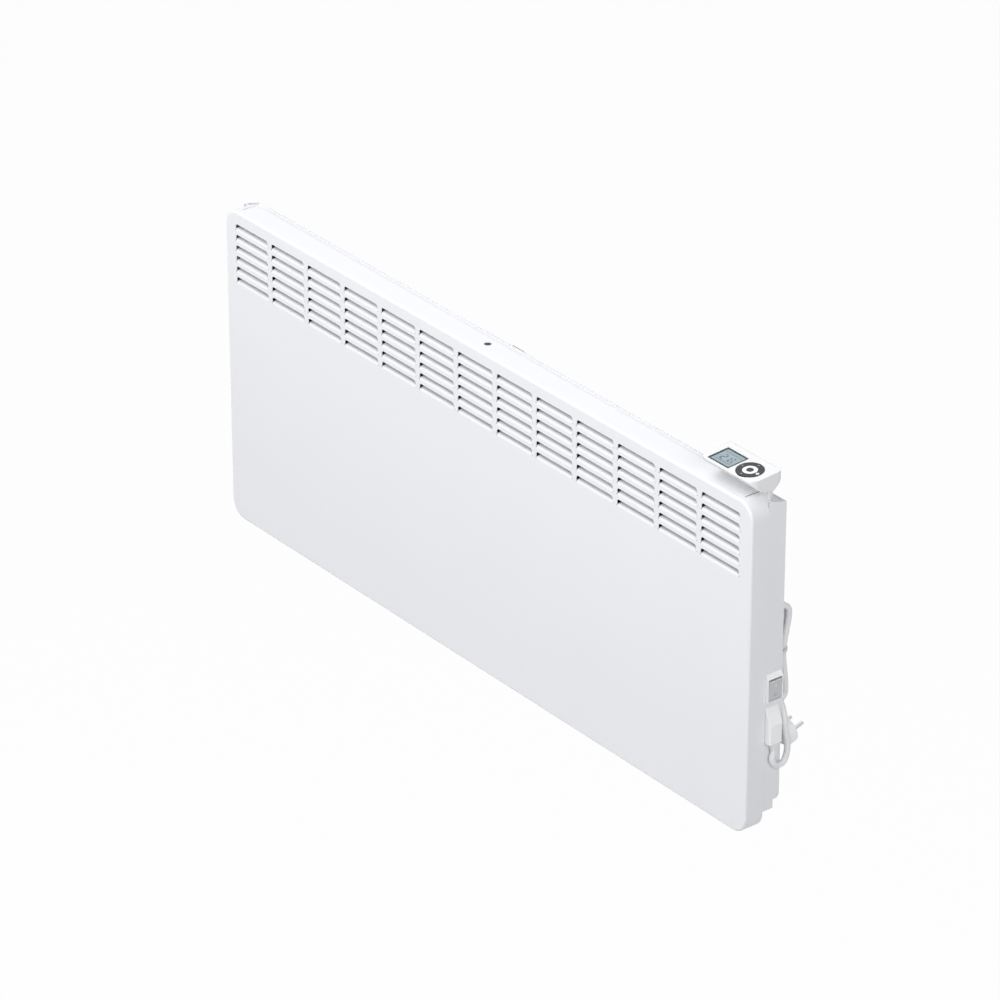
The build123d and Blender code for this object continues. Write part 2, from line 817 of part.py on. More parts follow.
def make_bracket_latch():
    """A plate in the guide: a tongue reaches under the release hole and a nib catches the casing."""
    half = latch_width / 2
    tongue_half = half - latch_shoulder
    back = guide_back - guide_clearance
    front = back - latch_sheet
    tongue_top = tongue_z + latch_sheet
    low = rail_top + rail_sheet + latch_travel + latch_room
    plate = block(-half, half, front, back, low, tongue_top)
    tongue = block(-tongue_half, tongue_half, from_front(latch_reach), back, tongue_z, tongue_top)
    rear = rear_y - sheet - seat_gap
    nib_tip = (rear, tongue_top + latch_nib)
    nib_outline = polygon([(rear - latch_nib_length, tongue_top), (rear, tongue_top), nib_tip])
    nib = side_prism(nib_outline, -tongue_half, tongue_half)
    target_y = from_front(release_hole_depth)
    target = rod_z(latch_target_radius, tongue_top, tongue_top + latch_target, 0, target_y)
    pin_radius = spring_radius - spring_wire - spring_pin_gap
    pin = rod_z(pin_radius, latch_foot_z - spring_pin, latch_foot_z, 0, spring_y)
    foot_y = spring_y - spring_radius
    foot = block(-tongue_half, tongue_half, foot_y, front, latch_foot_z, latch_foot_z + latch_sheet)
    return plate + tongue + nib + target + foot + pin


def make_latch_spring():
    """Round-coiled spring that stands on the upper rail and holds the latch up."""
    low = rail_top + rail_sheet + spring_wire / 2 + spring_end_gap
    high = latch_foot_z - spring_wire / 2 - spring_end_gap
    line = Helix(pitch=(high - low) / spring_turns, height=high - low, radius=spring_radius)
    section = Plane(origin=line @ 0, z_dir=line % 0) * RegularPolygon(spring_wire / 2, spring_sides)
    return Pos(0, spring_y, low) * sweep(section, path=line, is_frenet=True)


# ================================================================ heating parts
def element_rod_line(y, z_middle):
    """Hairpin: two straight runs joined by a half turn at the left."""
    right = element_right + bush_length + rod_end
    left = element_left - rod_overhang
    half = rod_spacing / 2
    lower = Line((right, y, z_middle - half), (left, y, z_middle - half))
    bend = ThreePointArc((left, y, z_middle - half), (left - half, y, z_middle), (left, y, z_middle + half))
    upper = Line((left, y, z_middle + half), (right, y, z_middle + half))
    return Wire([lower, bend, upper])


def make_element_rod():
    """Sheathed heating rod, bent back on itself."""
    y, z = element_middle
    line = element_rod_line(y, z)
    section = Plane(origin=line @ 0, z_dir=line % 0) * RegularPolygon(rod_radius, rod_sides)
    return sweep(section, path=line)


def make_element_profile():
    """Extruded aluminium body: two cores round the rod's runs, joined by a web, with splayed fins."""
    y, z = element_middle
    core = rod_radius + rod_gap + core_wall
    section = Pos(y, z) * Rectangle(fin_thickness, rod_spacing)
    for side in (-1, 1):
        centre = z + side * rod_spacing / 2
        section += Pos(y, centre) * RegularPolygon(core, rod_sides)
        for across in (-1, 1):
            tip = (y + across * fin_reach_y, centre + side * fin_reach_z)
            root = (y, centre)
            fin = Line(root, tip)
            section += trace(fin, fin_thickness)
            flat_tip = (y + across * fin_reach_y, centre - side * fin_flat)
            section += trace(Line(root, flat_tip), fin_thickness)
    for side in (-1, 1):
        section -= Pos(y, z + side * rod_spacing / 2) * RegularPolygon(rod_radius + rod_gap, rod_sides)
    body = side_prism(section, element_left, element_right)
    length = element_right - element_left
    for number in range(expansion_slots):
        x = element_left + length * (number + 1) / (expansion_slots + 1)
        for across in (-1, 1):
            near = y + across * (core + expansion_margin)
            far = y + across * 1.2 * fin_reach_y
            high = rod_spacing + fin_reach_z
            half = expansion_slot / 2
            body -= block(x - half, x + half, min(near, far), max(near, far), z - high, z + high)
    return body


def element_holder(x):
    """A plate across the casing that holds one end of the heating element, with a foot on the rear wall."""
    y, z = element_middle
    inner = rear_y - sheet
    plate = block(x, x + bracket_sheet, from_front(holder_front), inner, z - holder_half, z + holder_half)
    plate = fillet(plate.edges().filter_by(Axis.X).group_by(Axis.Y)[0], holder_round)
    foot = block(x, x + holder_foot, inner - bracket_sheet, inner, z - holder_half, z + holder_half)
    holder = plate + foot
    for side in (-1, 1):
        holder -= rod_x(bush_radius, x - 1, x + bracket_sheet + 1, y, z + side * rod_spacing / 2)
    return holder


def make_element_bracket_left():
    return element_holder(element_left - holder_gap)


def make_element_bracket_right():
    return element_holder(element_right + holder_gap)


def make_element_bushes():
    """Ceramic bushes that carry the rod's runs in the two end plates."""
    y, z = element_middle
    bushes = []
    for x in (element_left - holder_gap, element_right + holder_gap):
        for side in (-1, 1):
            centre = z + side * rod_spacing / 2
            collar = rod_x(bush_radius, x - bush_front, x + bracket_sheet + bush_rear, y, centre)
            flange = rod_x(bush_radius + bush_flange, x - 2 * bush_flange, x, y, centre)
            hole = rod_x(rod_radius + rod_gap / 2, x - bush_length, x + bush_length, y, centre)
            bushes.append(collar + flange - hole)
    return bushes


def make_heat_shield():
    """Bright sheet between the element and the rear wall, on pressed feet."""
    z = element_middle[1]
    face = rear_y - sheet - shield_gap
    left = element_left + shield_inset
    right = element_right - shield_inset
    shield = block(left, right, face - shield_sheet, face, z - shield_low, z + shield_high)
    inner = shield_foot_inner
    for x in (element_left + shield_foot_inset, -inner, inner, element_right - shield_foot_inset):
        for height in (z - shield_low * 0.7, z + shield_high * 0.75):
            shield += rod_y(shield_foot, face - sliver, rear_y - sheet, x, height, fixing_sides)
    return shield


def make_air_deflector():
    """Bent sheet that turns the warm air forward to the louvres, in two lengths beside the latch."""
    inner = rear_y - sheet
    under = from_top(gutter_depth + sheet)
    low = from_top(louvre_top + louvre_rows * louvre_pitch_z + deflector_drop)
    nose = from_front(top_flange + deflector_set_back)
    outline = [
        (inner, low),
        (inner, low + deflector_rise),
        (nose, under - deflector_drop),
        (nose, under),
        (nose - shield_sheet, under),
        (nose - shield_sheet, under - deflector_drop - shield_sheet / 3),
        (inner - shield_sheet, low + deflector_rise - shield_sheet / 3),
        (inner - shield_sheet, low),
    ]
    right = side_prism(polygon(outline), deflector_half_gap, partition_x - deflector_end)
    return right + side_prism(polygon(outline), element_left - deflector_overhang, -deflector_half_gap)


def make_partition_plate():
    """Wall between the warm air and the wiring space at the right."""
    inner = rear_y - sheet
    high = from_top(gutter_depth + sheet)
    foot_top = high - partition_flange_drop
    low = from_bottom(step_upper + partition_flange)
    plate = block(partition_x, partition_x + shield_sheet, from_front(partition_front), inner, low, high)
    plate += block(partition_x, partition_x + partition_flange, inner - shield_sheet, inner, low, foot_top)
    y, z = element_middle
    for side in (-1, 1):
        centre = z + side * rod_spacing / 2
        hole = rod_radius + partition_hole_gap
        plate -= rod_x(hole, partition_x - 1, partition_x + 2 * shield_sheet, y, centre)
    return plate


def cutout_place():
    return cutout_x, from_front(cutout_depth), element_middle[1] + cutout_rise


def make_cutout_bracket():
    """Angle on the heat shield that holds the cut-out over the element."""
    x, y, z = cutout_place()
    inner = rear_y - sheet - shield_gap - shield_sheet
    half = 1.5 * cutout_radius
    arm = block(x - half, x + half, y - cutout_radius, inner, z, z + cutout_sheet)
    foot = block(x - half, x + half, inner - cutout_sheet, inner, z - half, z + cutout_sheet)
    return arm + foot - rod_z(cutout_radius / 2 + seat_gap, z - 1, z + 2, x, y)


def make_thermal_cutout():
    """Round overheating cut-out that looks down at the element from its bracket."""
    x, y, z = cutout_place()
    low = z + cutout_sheet
    high = low + 0.75 * cutout_radius
    body = rod_z(cutout_radius, low, high, x, y) + rod_z(cutout_radius / 2, z - 2 * cutout_sheet, low, x, y)
    reach = 1.25 * cutout_radius
    body += block(x - reach, x + reach, y - reach / 2, y + reach / 2, high - 2, high + cutout_sheet / 2)
    for side in (-1, 1):
        tab = x + side * (reach - cutout_sheet)
        left = tab - cutout_sheet
        body += block(left, tab + cutout_sheet, y - reach / 3, y + reach / 3, high, high + cutout_radius)
    return body


def make_terminal_block():
    """Three terminals side by side, with wire holes from below and screws from the front."""
    z = from_top(entry_hole_z) - terminal_drop
    inner = rear_y - sheet
    middle = terminal_right - terminal_width / 2
    half = terminal_height / 2
    left = terminal_right - terminal_width
    body = block(left, terminal_right, inner - terminal_depth, inner, z - half, z + half)
    deep = inner - terminal_depth / 2
    for step in (-1, 0, 1):
        x = middle + step * terminal_pitch
        body -= rod_z(terminal_hole, z - half - 1, z + half + 1, x, deep, 6)
        for height in (-half / 2, half / 2):
            body -= rod_y(terminal_hole * 0.8, inner - terminal_depth - 1, deep, x, z + height, 6)
    return body


def make_power_board():
    """Circuit board on four standoffs in the wiring space."""
    face = rear_y - sheet - standoff
    board = block(board_left, board_right, face - board_sheet, face, board_low, board_high)
    for x, z in standoff_places():
        board -= rod_y(standoff_neck + seat_gap / 3, face - 2 * board_sheet, face + 1, x, z, fixing_sides)
    return board


def standoff_places():
    """The board's four corner holes."""
    sides = (board_left + standoff_inset, board_right - standoff_inset)
    return [(x, z) for z in (board_low + standoff_inset, board_high - standoff_inset) for x in sides]


def make_board_standoffs():
    """Posts on the rear wall whose thin ends go through the board's holes."""
    inner = rear_y - sheet
    face = inner - standoff
    posts = []
    for x, z in standoff_places():
        post = rod_y(2 * standoff_neck, face, inner, x, z, fixing_sides)
        posts.append(post + rod_y(standoff_neck, face - 2 * board_sheet, face, x, z, fixing_sides))
    return posts


def board_box(left, low, width, height, depth):
    """A component on the power board, from the board's lower left corner."""
    face = rear_y - sheet - standoff - board_sheet
    x = board_left + left
    z = board_low + low
    return block(x, x + width, face - depth, face, z, z + height)


def make_power_board_components():
    """Relay, choke, wire connectors and a capacitor."""
    face = rear_y - sheet - standoff - board_sheet
    x = board_left + 0.7 * board_width
    z = board_low + 0.27 * board_height
    relay = board_box(6, 14, 16, 29, 16)
    choke = board_box(32, 40, 20, 14, 12)
    connectors = board_box(6, board_height - 20, 44, 9, 9)
    capacitor = rod_y(capacitor_radius, face - 2.5 * capacitor_radius, face, x, z)
    return [relay, choke, connectors, capacitor]


def make_room_sensor():
    """Bead in a sleeve, in the air that comes in at the bottom."""
    low = from_bottom(step_lower) + sheet + sensor_lift
    bead_end = rod_z(sensor_radius, low, low + sensor_length, sensor_x, from_front(sensor_depth))
    return chamfer(bead_end.edges().group_by(Axis.Z)[0], sensor_radius / 3)


def make_sensor_clip():
    """Clip on the step's riser, round the sensor's sleeve."""
    low = from_bottom(step_lower) + sheet + 2 * sensor_radius
    high = low + 2.5 * sensor_radius
    y = from_front(sensor_depth)
    grip = rod_z(sensor_radius + sheet + 0.5, low, high, sensor_x, y)
    grip -= rod_z(sensor_radius + pivot_gap, low - 1, high + 1, sensor_x, y)
    half = sheet + 0.5
    riser = from_front(step_depth) - sheet
    arm = block(sensor_x - half, sensor_x + half, y + sensor_radius + half / 2, riser, low, high)
    return grip + arm


# ================================================================ control housing
def tilted(x, y, lift=0.0):
    """Plane on the control housing's sloping top, at a place given from the front face."""
    slope = radians(pod_tilt)
    height = top_z + pod_top + (y - pod_tilt_at) * sin(slope) / cos(slope)
    normal = Vector(0, -sin(slope), cos(slope))
    return Plane(Vector(x, from_front(y), height) + normal * lift, x_dir=(1, 0, 0), z_dir=normal)


def pod_side_outline():
    """Side view of the housing: a wedge whose nose hangs over the cover's front edge."""
    rise = sin(radians(pod_tilt)) / cos(radians(pod_tilt))

    def upper(y):
        return pod_top + (y - pod_tilt_at) * rise

    points = [
        (from_front(pod_nose), top_z + pod_nose_low),
        (from_front(pod_nose + 0.5), top_z + upper(0.0) - 0.5),
        (from_front(pod_lip), top_z + upper(pod_lip)),
        (from_front(pod_depth), top_z + upper(pod_depth)),
        (from_front(pod_depth - pod_back_inset), top_z + pod_back_low),
        (from_front(pod_heel), top_z + pod_heel_height),
        (from_front(pod_belly), top_z + pod_belly_height),
        (from_front(pod_chin), top_z + pod_chin_height),
    ]
    outline = polygon(points)
    for point, radius in zip(points, pod_rounds):
        nearest = outline.vertices().sort_by_distance((point[0], point[1], 0))[0]
        outline = fillet(nearest, radius)
    return outline


def pod_solid(inset=0.0):
    """The housing's outside, or its inside with an inset."""
    side = pod_side_outline()
    plan = RectangleRounded(pod_width, pod_depth, pod_corner)
    if inset:
        side = offset(side, amount=-inset)
        plan = offset(plan, amount=-inset)
    bar = side_prism(side, pod_right - pod_width - 1, pod_right + 1)
    column = Pos(pod_middle, from_front(pod_depth / 2), top_z) * extrude(plan, amount=2 * pod_top)
    return bar & column


def below_parting():
    """Everything under the line where the housing's two shells meet."""
    plane = tilted(pod_middle, pod_depth / 2, -pod_parting)
    return extrude(plane * Rectangle(3 * pod_width, 3 * pod_width), amount=-pod_width)


def make_control_cover():
    """Upper shell, with a window for the display and a round hole for the keys."""
    shell = pod_solid() - pod_solid(pod_wall) - below_parting()
    deep = 3 * pod_wall
    opening = Rectangle(display_width + 2 * seat_gap, display_height + 2 * seat_gap)
    shell -= extrude(tilted(display_x, display_y, -deep) * opening, amount=2 * deep)
    keys = tilted(keypad_x, keypad_y, -deep) * Circle(ring_outer + key_gap)
    return shell - extrude(keys, amount=2 * deep)


def neck_bore(low, high):
    """The wiring hole through the housing's neck and the casing's top wall."""
    left = neck_right - neck_width + pod_wall
    front = from_front(neck_front + pod_wall)
    return block(left, neck_right - pod_wall, front, from_front(neck_rear - pod_wall), low, high)


def make_control_base():
    """Lower shell with a hollow neck that stands on the casing's top wall and carries the wiring."""
    foot = from_top(gutter_depth)
    left = neck_right - neck_width
    neck = block(left, neck_right, from_front(neck_front), from_front(neck_rear), foot, top_z + neck_height)
    neck = fillet(neck.edges().filter_by(Axis.Z), neck_round)
    outer = pod_solid() & below_parting()
    neck = neck & below_parting()
    return outer + neck - pod_solid(pod_wall) - neck_bore(foot - 1, top_z + pod_top)


def make_control_board():
    """Circuit board under the display and the keys."""
    plane = tilted(pod_middle, control_board_y, -board_drop)
    outline = RectangleRounded(pod_width - 3 * pod_wall, control_board_depth, pod_corner / 2)
    return extrude(plane * outline, amount=-board_sheet) & pod_solid(pod_wall + seat_gap)


def make_board_pillars():
    """Pillars inside the lower shell that carry the circuit board."""
    pillars = []
    inner = pod_solid(pod_wall)
    for x in (pod_right - pod_width + pillar_inset, pod_right - pillar_inset):
        plane = tilted(x, control_board_y, -board_drop - board_sheet)
        pillar = extrude(plane * RegularPolygon(pillar_radius, rod_sides), amount=-pod_top)
        pillars.append(pillar & inner)
    return pillars


def make_display_module():
    """Display panel between the circuit board and the window."""
    plane = tilted(display_x, display_y, -board_drop)
    outline = Rectangle(display_width - module_margin_x, display_height - module_margin_y)
    return extrude(plane * outline, amount=board_drop - display_frame_height)


def display_opening():
    return Rectangle(display_width - 2 * display_rim, display_height - 2 * display_rim)


def make_display_frame():
    """Dark rim that lines the opening in the upper shell."""
    plane = tilted(display_x, display_y, -display_frame_height)
    ring = Rectangle(display_width, display_height) - display_opening()
    return extrude(plane * ring, amount=display_frame_height)


def make_display_window():
    """Clear pane in the rim, a little below its edge."""
    plane = tilted(display_x, display_y, -window_drop - window_sheet)
    return extrude(plane * display_opening(), amount=window_sheet)


def key_segment(middle):
    """A quarter of the key ring, centred on an angle in degrees."""
    ring = Circle(ring_outer) - Circle(ring_inner)
    tip = key_gap / sqrt(2)  # keeps the gap between neighbouring keys even
    far = tip + 2 * ring_outer
    sector = polygon([(tip, 0), (far, far - tip), (2 * far, 0), (far, tip - far)])
    outline = ring & (Rot(0, 0, middle) * sector)
    return extrude(tilted(keypad_x, keypad_y, key_proud - key_height) * outline, amount=key_height)


def make_key_collar():
    """White disc between the key ring and the middle key, on a sleeve that stands on the board."""
    plane = tilted(keypad_x, keypad_y, -board_drop)
    sleeve = Circle(ring_inner - key_gap) - Circle(centre_key_radius + key_gap)
    return extrude(plane * sleeve, amount=board_drop + collar_proud)


def make_centre_key():
    """Round key in the middle of the ring."""
    plane = tilted(keypad_x, keypad_y, -key_height)
    return extrude(plane * Circle(centre_key_radius), amount=key_height + centre_key_proud)


def dome(x, y, radius, height):
    return extrude(tilted(x, y, -board_drop) * RegularPolygon(radius, fixing_sides), amount=height)


def make_key_domes():
    """Rubber domes on the board, one under each key."""
    gap = key_travel + dome_gap
    height = board_drop - (key_height - key_proud) - gap
    mean = ring_inner + dome_inset
    domes = [dome(keypad_x, keypad_y, centre_dome_radius, board_drop - key_height - gap)]
    for angle in (0, 90, 180, 270):
        x = keypad_x + mean * cos(radians(angle))
        y = keypad_y + mean * sin(radians(angle)) * cos(radians(pod_tilt))
        domes.append(dome(x, y, dome_radius, height))
    return domes


# ================================================================ rocker switch
def switch_place():
    return from_front(switch_middle_y), from_top(switch_middle_z)


def side_view(half):
    """Plane whose X runs out of the casing's side and whose Y runs up; half is half the depth in Y."""
    return Plane((0, half, 0), x_dir=(1, 0, 0), z_dir=(0, -1, 0))


def make_switch_frame():
    """White frame with a sloping top, and a box behind it that goes into the casing's side."""
    y, z = switch_place()
    front = casing_half + switch_proud
    back = casing_half - switch_box
    half_y = switch_width / 2
    half_z = switch_height / 2
    low = (front, z + frame_lip - half_z)
    high = (front, z + half_z - switch_proud)
    outline = polygon([(casing_half, z - half_z), low, high, (casing_half, z + half_z)])
    frame = Pos(0, y, 0) * extrude(side_view(half_y) * outline, amount=switch_width)
    box_y = switch_hole_y / 2 - seat_gap
    box_z = switch_hole_z / 2 - seat_gap
    frame += block(back, casing_half, y - box_y, y + box_y, z - box_z, z + box_z)
    well_y = rocker_width / 2 + rocker_gap
    well_z = rocker_height / 2 + rocker_gap
    middle = z - rocker_shift
    frame -= block(back + switch_floor, front + 1, y - well_y, y + well_y, middle - well_z, middle + well_z)
    bore = half_y - pivot_cover
    frame -= turned_y(pivot_radius + pivot_gap, y - bore, y + bore, pivot_x, middle)
    for step in (-1, 0, 1):
        low = z + step * tab_spacing - tab_sheet / 2
        frame += block(back - tab_length, back, y - tab_half, y + tab_half, low, low + tab_sheet)
    return frame


def make_switch_rocker():
    """Two-position rocker with a shallow V face, at rest with its lower half pressed in."""
    y, z = switch_place()
    half = rocker_height / 2 - 2 * rocker_gap
    out = casing_half + switch_proud - pivot_x
    slope = half * sin(radians(rocker_tilt)) / cos(radians(rocker_tilt))
    tip = out + slope
    lower = [(-rocker_back, rocker_taper - half), (tip - rocker_edge, -half), (tip, rocker_edge - half)]
    upper = [(across, -height) for across, height in lower[::-1]]
    outline = polygon(lower + [(out, 0)] + upper)
    body = Rot(0, rocker_tilt, 0) * extrude(side_view(rocker_width / 2) * outline, amount=rocker_width)
    pin_half = switch_width / 2 - pivot_cover - pin_play
    pin = turned_y(pivot_radius, -pin_half, pin_half, 0, 0)
    return Pos(pivot_x, y, z - rocker_shift) * (body + pin)


# ================================================================ cord entry
def make_cord_entry_housing():
    """Wedge-shaped cover on the casing's side over the place where the cord goes in."""
    near = casing_half
    far = casing_half + entry_proud
    low = from_top(entry_bottom)
    shoulder = from_top(entry_shoulder)
    slope = polygon([(near, low), (far, low), (far, shoulder), (near, from_top(entry_top))])
    wedge = extrude(side_view(from_front(entry_rear)) * slope, amount=entry_rear - entry_front)
    outer = wedge.edges().filter_by(Axis.Z).group_by(Axis.X)[-1]
    wedge = fillet(outer, entry_round)
    front = from_front(entry_front + entry_side)
    rear = from_front(entry_rear - entry_side)
    wedge -= block(near - 1, far - entry_wall, front, rear, low + entry_floor, shoulder)
    neck_y = gland_neck_y + gland_neck_gap
    neck_x = gland_neck_x + gland_neck_gap
    gland = from_front(gland_y)
    high = low + 2 * entry_floor
    return wedge - block(cord_x - neck_x, cord_x + neck_x, gland - neck_y, gland + neck_y, low - 1, high)


def make_cord_gland():
    """Tapered block that the cord comes out of, with a neck and a collar above the housing's floor."""
    low = from_top(entry_bottom)
    x = cord_x
    y = from_front(gland_y)
    neck_x = gland_neck_x
    neck_y = gland_neck_y
    top = Pos(x, y, low) * RectangleRounded(gland_thickness, gland_size, gland_corner)
    end_outline = RectangleRounded(gland_thickness - gland_taper, gland_end_size, gland_corner)
    sleeve = loft([Pos(x, y, low - gland_length) * end_outline, top])
    neck = block(x - neck_x, x + neck_x, y - neck_y, y + neck_y, low, low + gland_inside)
    lip_low = low + entry_floor + gland_neck_gap
    lip_y = neck_y + gland_lip
    lip = block(x - neck_x, x + neck_x, y - lip_y, y + lip_y, lip_low, lip_low + gland_lip_height)
    return sleeve + neck + lip


# ================================================================ supply cord
def arc_between(start, way, end):
    """Arc from start to end that leaves start along way."""
    chord = end - start
    along = chord.normalized()
    turn = radians(way.get_angle(along))
    if turn < 1e-4:
        return Line(start, end)
    middle = start + (way.normalized() + along).normalized() * (chord.length / (2 * cos(turn / 2)))
    return ThreePointArc(start, middle, end)


def biarc(p0, t0, p1, t1):
    """Two arcs that leave p0 along t0 and reach p1 along t1, smooth where they meet."""
    v = p1 - p0
    t = t0 + t1
    k = 2 * (1 - t0.dot(t1))
    if abs(k) < 1e-9:
        d = v.dot(v) / (4 * v.dot(t1))
    else:
        d = (-v.dot(t) + sqrt(v.dot(t) ** 2 + k * v.dot(v))) / k
    q0 = p0 + t0 * d
    q1 = p1 - t1 * d
    joint = (q0 + q1) * 0.5
    return [arc_between(p0, t0, joint), arc_between(joint, (q1 - q0).normalized(), p1)]


def hank_stations():
    """Places and directions: the runs near the casing go up and step aside, the others come down."""
    up = Vector(0, 0, 1)
    down = Vector(0, 0, -1)
    back = Vector(0, 1, 0)
    front = Vector(0, -1, 0)
    y = from_front(hank_y)
    low = from_top(hank_bottom_z)
    waist = from_top(hank_waist_z)
    high = from_top(hank_top_z)
    climb = Vector(-hank_step, 0, high - low).normalized()
    stations = []
    for turn in range(hank_turns):
        x1 = hank_outer_x - turn * hank_step
        x0 = x1 + hank_step
        if turn:
            stations.append((Vector(x0, y - hank_bottom_radius, low), up))
        else:
            stations.append((Vector(x0, y - hank_bottom_radius, from_top(hank_start_z)), up))
        stations.append((Vector((x0 + x1) / 2, y - hank_waist_half, waist), climb))
        stations.append((Vector(x1, y - hank_top_radius, high), up))
        stations.append((Vector(x1, y, high + hank_top_radius), back))
        stations.append((Vector(x1, y + hank_top_radius, high), down))
        stations.append((Vector(x1, y + hank_waist_half, waist), down))
        if turn < hank_turns - 1:
            stations.append((Vector(x1, y + hank_bottom_radius, low), down))
            stations.append((Vector(x1, y, low - hank_bottom_radius), front))
        else:
            stations.append((Vector(x1, y + hank_bottom_radius, from_top(hank_end_z)), down))
    return stations


def hank_line():
    """The hank as one smooth line of arcs, with short straight ends."""
    stations = hank_stations()
    first, first_way = stations[0]
    last, last_way = stations[-1]
    end = 2 * cord_radius
    edges = [Line(first - first_way * end, first)]
    for (p0, t0), (p1, t1) in zip(stations, stations[1:]):
        edges += biarc(p0, t0, p1, t1)
    edges.append(Line(last, last + last_way * end))
    return Wire(edges)


def least_gap(line):
    """Least distance between stretches of a line that are apart along it, less the cord's diameter."""
    count = int(line.length / gap_step)
    points = [line.position_at(i / count) for i in range(count + 1)]
    skip = int(gap_own / gap_step)
    least = line.length
    for i in range(len(points)):
        for j in range(i + skip, len(points)):
            least = min(least, (points[i] - points[j]).length)
    return least - 2 * cord_radius


def make_cord_hank():
    """The tied hank, one unbroken tube."""
    line = hank_line()
    print("hank length", round(line.length, 1), "least gap to itself", round(least_gap(line), 2))
    section = Plane(origin=line @ 0, z_dir=line % 0) * RegularPolygon(cord_radius, cord_sides)
    return sweep(section, path=line)


def route_radii(points):
    """Radius at each corner of a route: 0.45 of the shorter run over the tangent of half the turn."""
    radii = []
    for a, b, c in zip(points, points[1:], points[2:]):
        before = Vector(b) - Vector(a)
        after = Vector(c) - Vector(b)
        half = radians(before.get_angle(after)) / 2
        radii.append(0.45 * min(before.length, after.length) * cos(half) / sin(half))
    return radii


def cord_tube(name, points):
    """Straight runs and tangent arcs along a route; prints the radii and compares the volume."""
    radii = route_radii(points)
    line = FilletPolyline(*points, radius=radii)
    section = Plane(origin=line @ 0, z_dir=line % 0) * RegularPolygon(cord_radius, cord_sides)
    tube = sweep(section, path=line)
    expected = line.length * section.area
    print(name, "length", round(line.length, 1), "radii", [round(r, 1) for r in radii])
    print(name, "volume", round(tube.volume), "of", round(expected))
    return tube


def loop_points():
    """From the gland: down, a tight turn back, up and in behind the casing to the hank."""
    start, way = hank_stations()[0]
    end = start - way * 2 * cord_radius
    gland_end = from_top(entry_bottom + gland_length)
    lean = cord_x + loop_lean
    low = gland_end - loop_drop
    return [
        (cord_x, from_front(gland_y), gland_end),
        (cord_x, from_front(gland_y), gland_end - loop_start),
        (cord_x, from_front(loop_front), gland_end - loop_down),
        (cord_x + 0.2, from_front(loop_low_front), low),
        (cord_x + 0.5, from_front(loop_low_rear), low),
        (lean - 0.1, from_front(loop_rear), low + loop_rear_rise),
        (lean, from_front(loop_back), gland_end + loop_middle),
        (lean - 0.4, from_front(loop_back_high), gland_end + loop_rise),
        (cord_x - loop_entry_inset, from_front(loop_entry), gland_end + loop_entry_rise),
        (end.X, end.Y, end.Z - loop_start_run),
        (end.X, end.Y, end.Z),
    ]


def tail_points():
    """From the hank's inner layer down, round to the left and back to the plug's grip."""
    last, way = hank_stations()[-1]
    start = last + way * 2 * cord_radius
    end, direction = plug_exit()
    before = end + direction * tail_end_run
    return [
        (start.X, start.Y, start.Z),
        (start.X, start.Y, start.Z - tail_down),
        (start.X - tail_left, start.Y - tail_forward, start.Z - tail_drop),
        (before.X, before.Y, before.Z),
        (end.X, end.Y, end.Z),
    ]


# ================================================================ plug
def plug_plane(lift=0.0):
    """Plane of the plug's face, turned to the left with its pins tipped up; lift runs along the pins."""
    turn = radians(plug_turn)
    tip = radians(plug_tip)
    pins = Vector(-sin(turn) * cos(tip), cos(turn) * cos(tip), sin(tip))
    across = Vector(cos(turn), sin(turn), 0)
    return Plane(Vector(plug_x, from_front(plug_y), from_top(plug_z)) + pins * lift, x_dir=across, z_dir=pins)


def plug_exit():
    """End of the plug's grip, and the direction that it points in: the plug's left."""
    plane = plug_plane(-plug_thickness / 2)
    return plane.origin - plane.x_dir * plug_grip, -plane.x_dir


def make_plug_body():
    """Flat angled plug: a disc with a grip at one side that the cord leaves."""
    rim = plug_thickness - plug_dome
    outline = RegularPolygon(plug_radius, plug_facets)
    disc = extrude(plug_plane() * outline, amount=-rim)
    disc += extrude(plug_plane(-rim) * outline, amount=-plug_dome, taper=plug_dome_taper)
    middle = plug_plane(-plug_thickness / 2)
    end, way = plug_exit()
    start = middle.origin + way * plug_radius * grip_start
    big = RectangleRounded(grip_thickness, grip_width, grip_corner)
    small = RectangleRounded(grip_end_thickness, grip_end_width, grip_end_corner)
    big = Plane(start, x_dir=middle.z_dir, z_dir=way) * big
    small = Plane(end, x_dir=middle.z_dir, z_dir=way) * small
    return disc + loft([big, small])


def make_plug_pins():
    """Two round pins with chamfered tips."""
    pins = []
    plane = plug_plane()
    for side in (-1, 1):
        foot = plane.origin + plane.x_dir * side * pin_spacing / 2
        base = Plane(foot, x_dir=plane.x_dir, z_dir=plane.z_dir)
        pin = extrude(base * Circle(pin_radius), amount=pin_length)
        pins.append(chamfer(pin.edges().filter_by(GeomType.CIRCLE).sort_by(Axis.Y)[-1], pin_radius * 0.4))
    return pins


def make_plug_earth_clips():
    """Spring strips at the plug's upper and lower edges."""
    clips = []
    plane = plug_plane()
    for side in (-1, 1):
        foot = plane.origin + plane.y_dir * side * (plug_radius - clip_inset)
        base = Plane(foot, x_dir=plane.x_dir, z_dir=plane.z_dir)
        clips.append(extrude(base * Rectangle(clip_width, clip_sheet), amount=clip_proud))
    return clips


def make_hank_tie():
    """Strap pulled close round the hank's waist."""
    inner_x = hank_outer_x - (hank_turns - 1) * hank_step
    y = from_front(hank_y)
    near = y - hank_waist_half
    far = y + hank_waist_half
    half = hank_step / 2
    strands = [(inner_x + half, near), (hank_outer_x + half, near), (hank_outer_x, far), (inner_x, far)]
    inner = offset(polygon(strands), amount=cord_radius + tie_gap)
    outer = offset(polygon(strands), amount=cord_radius + tie_gap + tie_sheet)
    return Pos(0, 0, from_top(hank_waist_z) - tie_width / 2) * extrude(outer - inner, amount=tie_width)


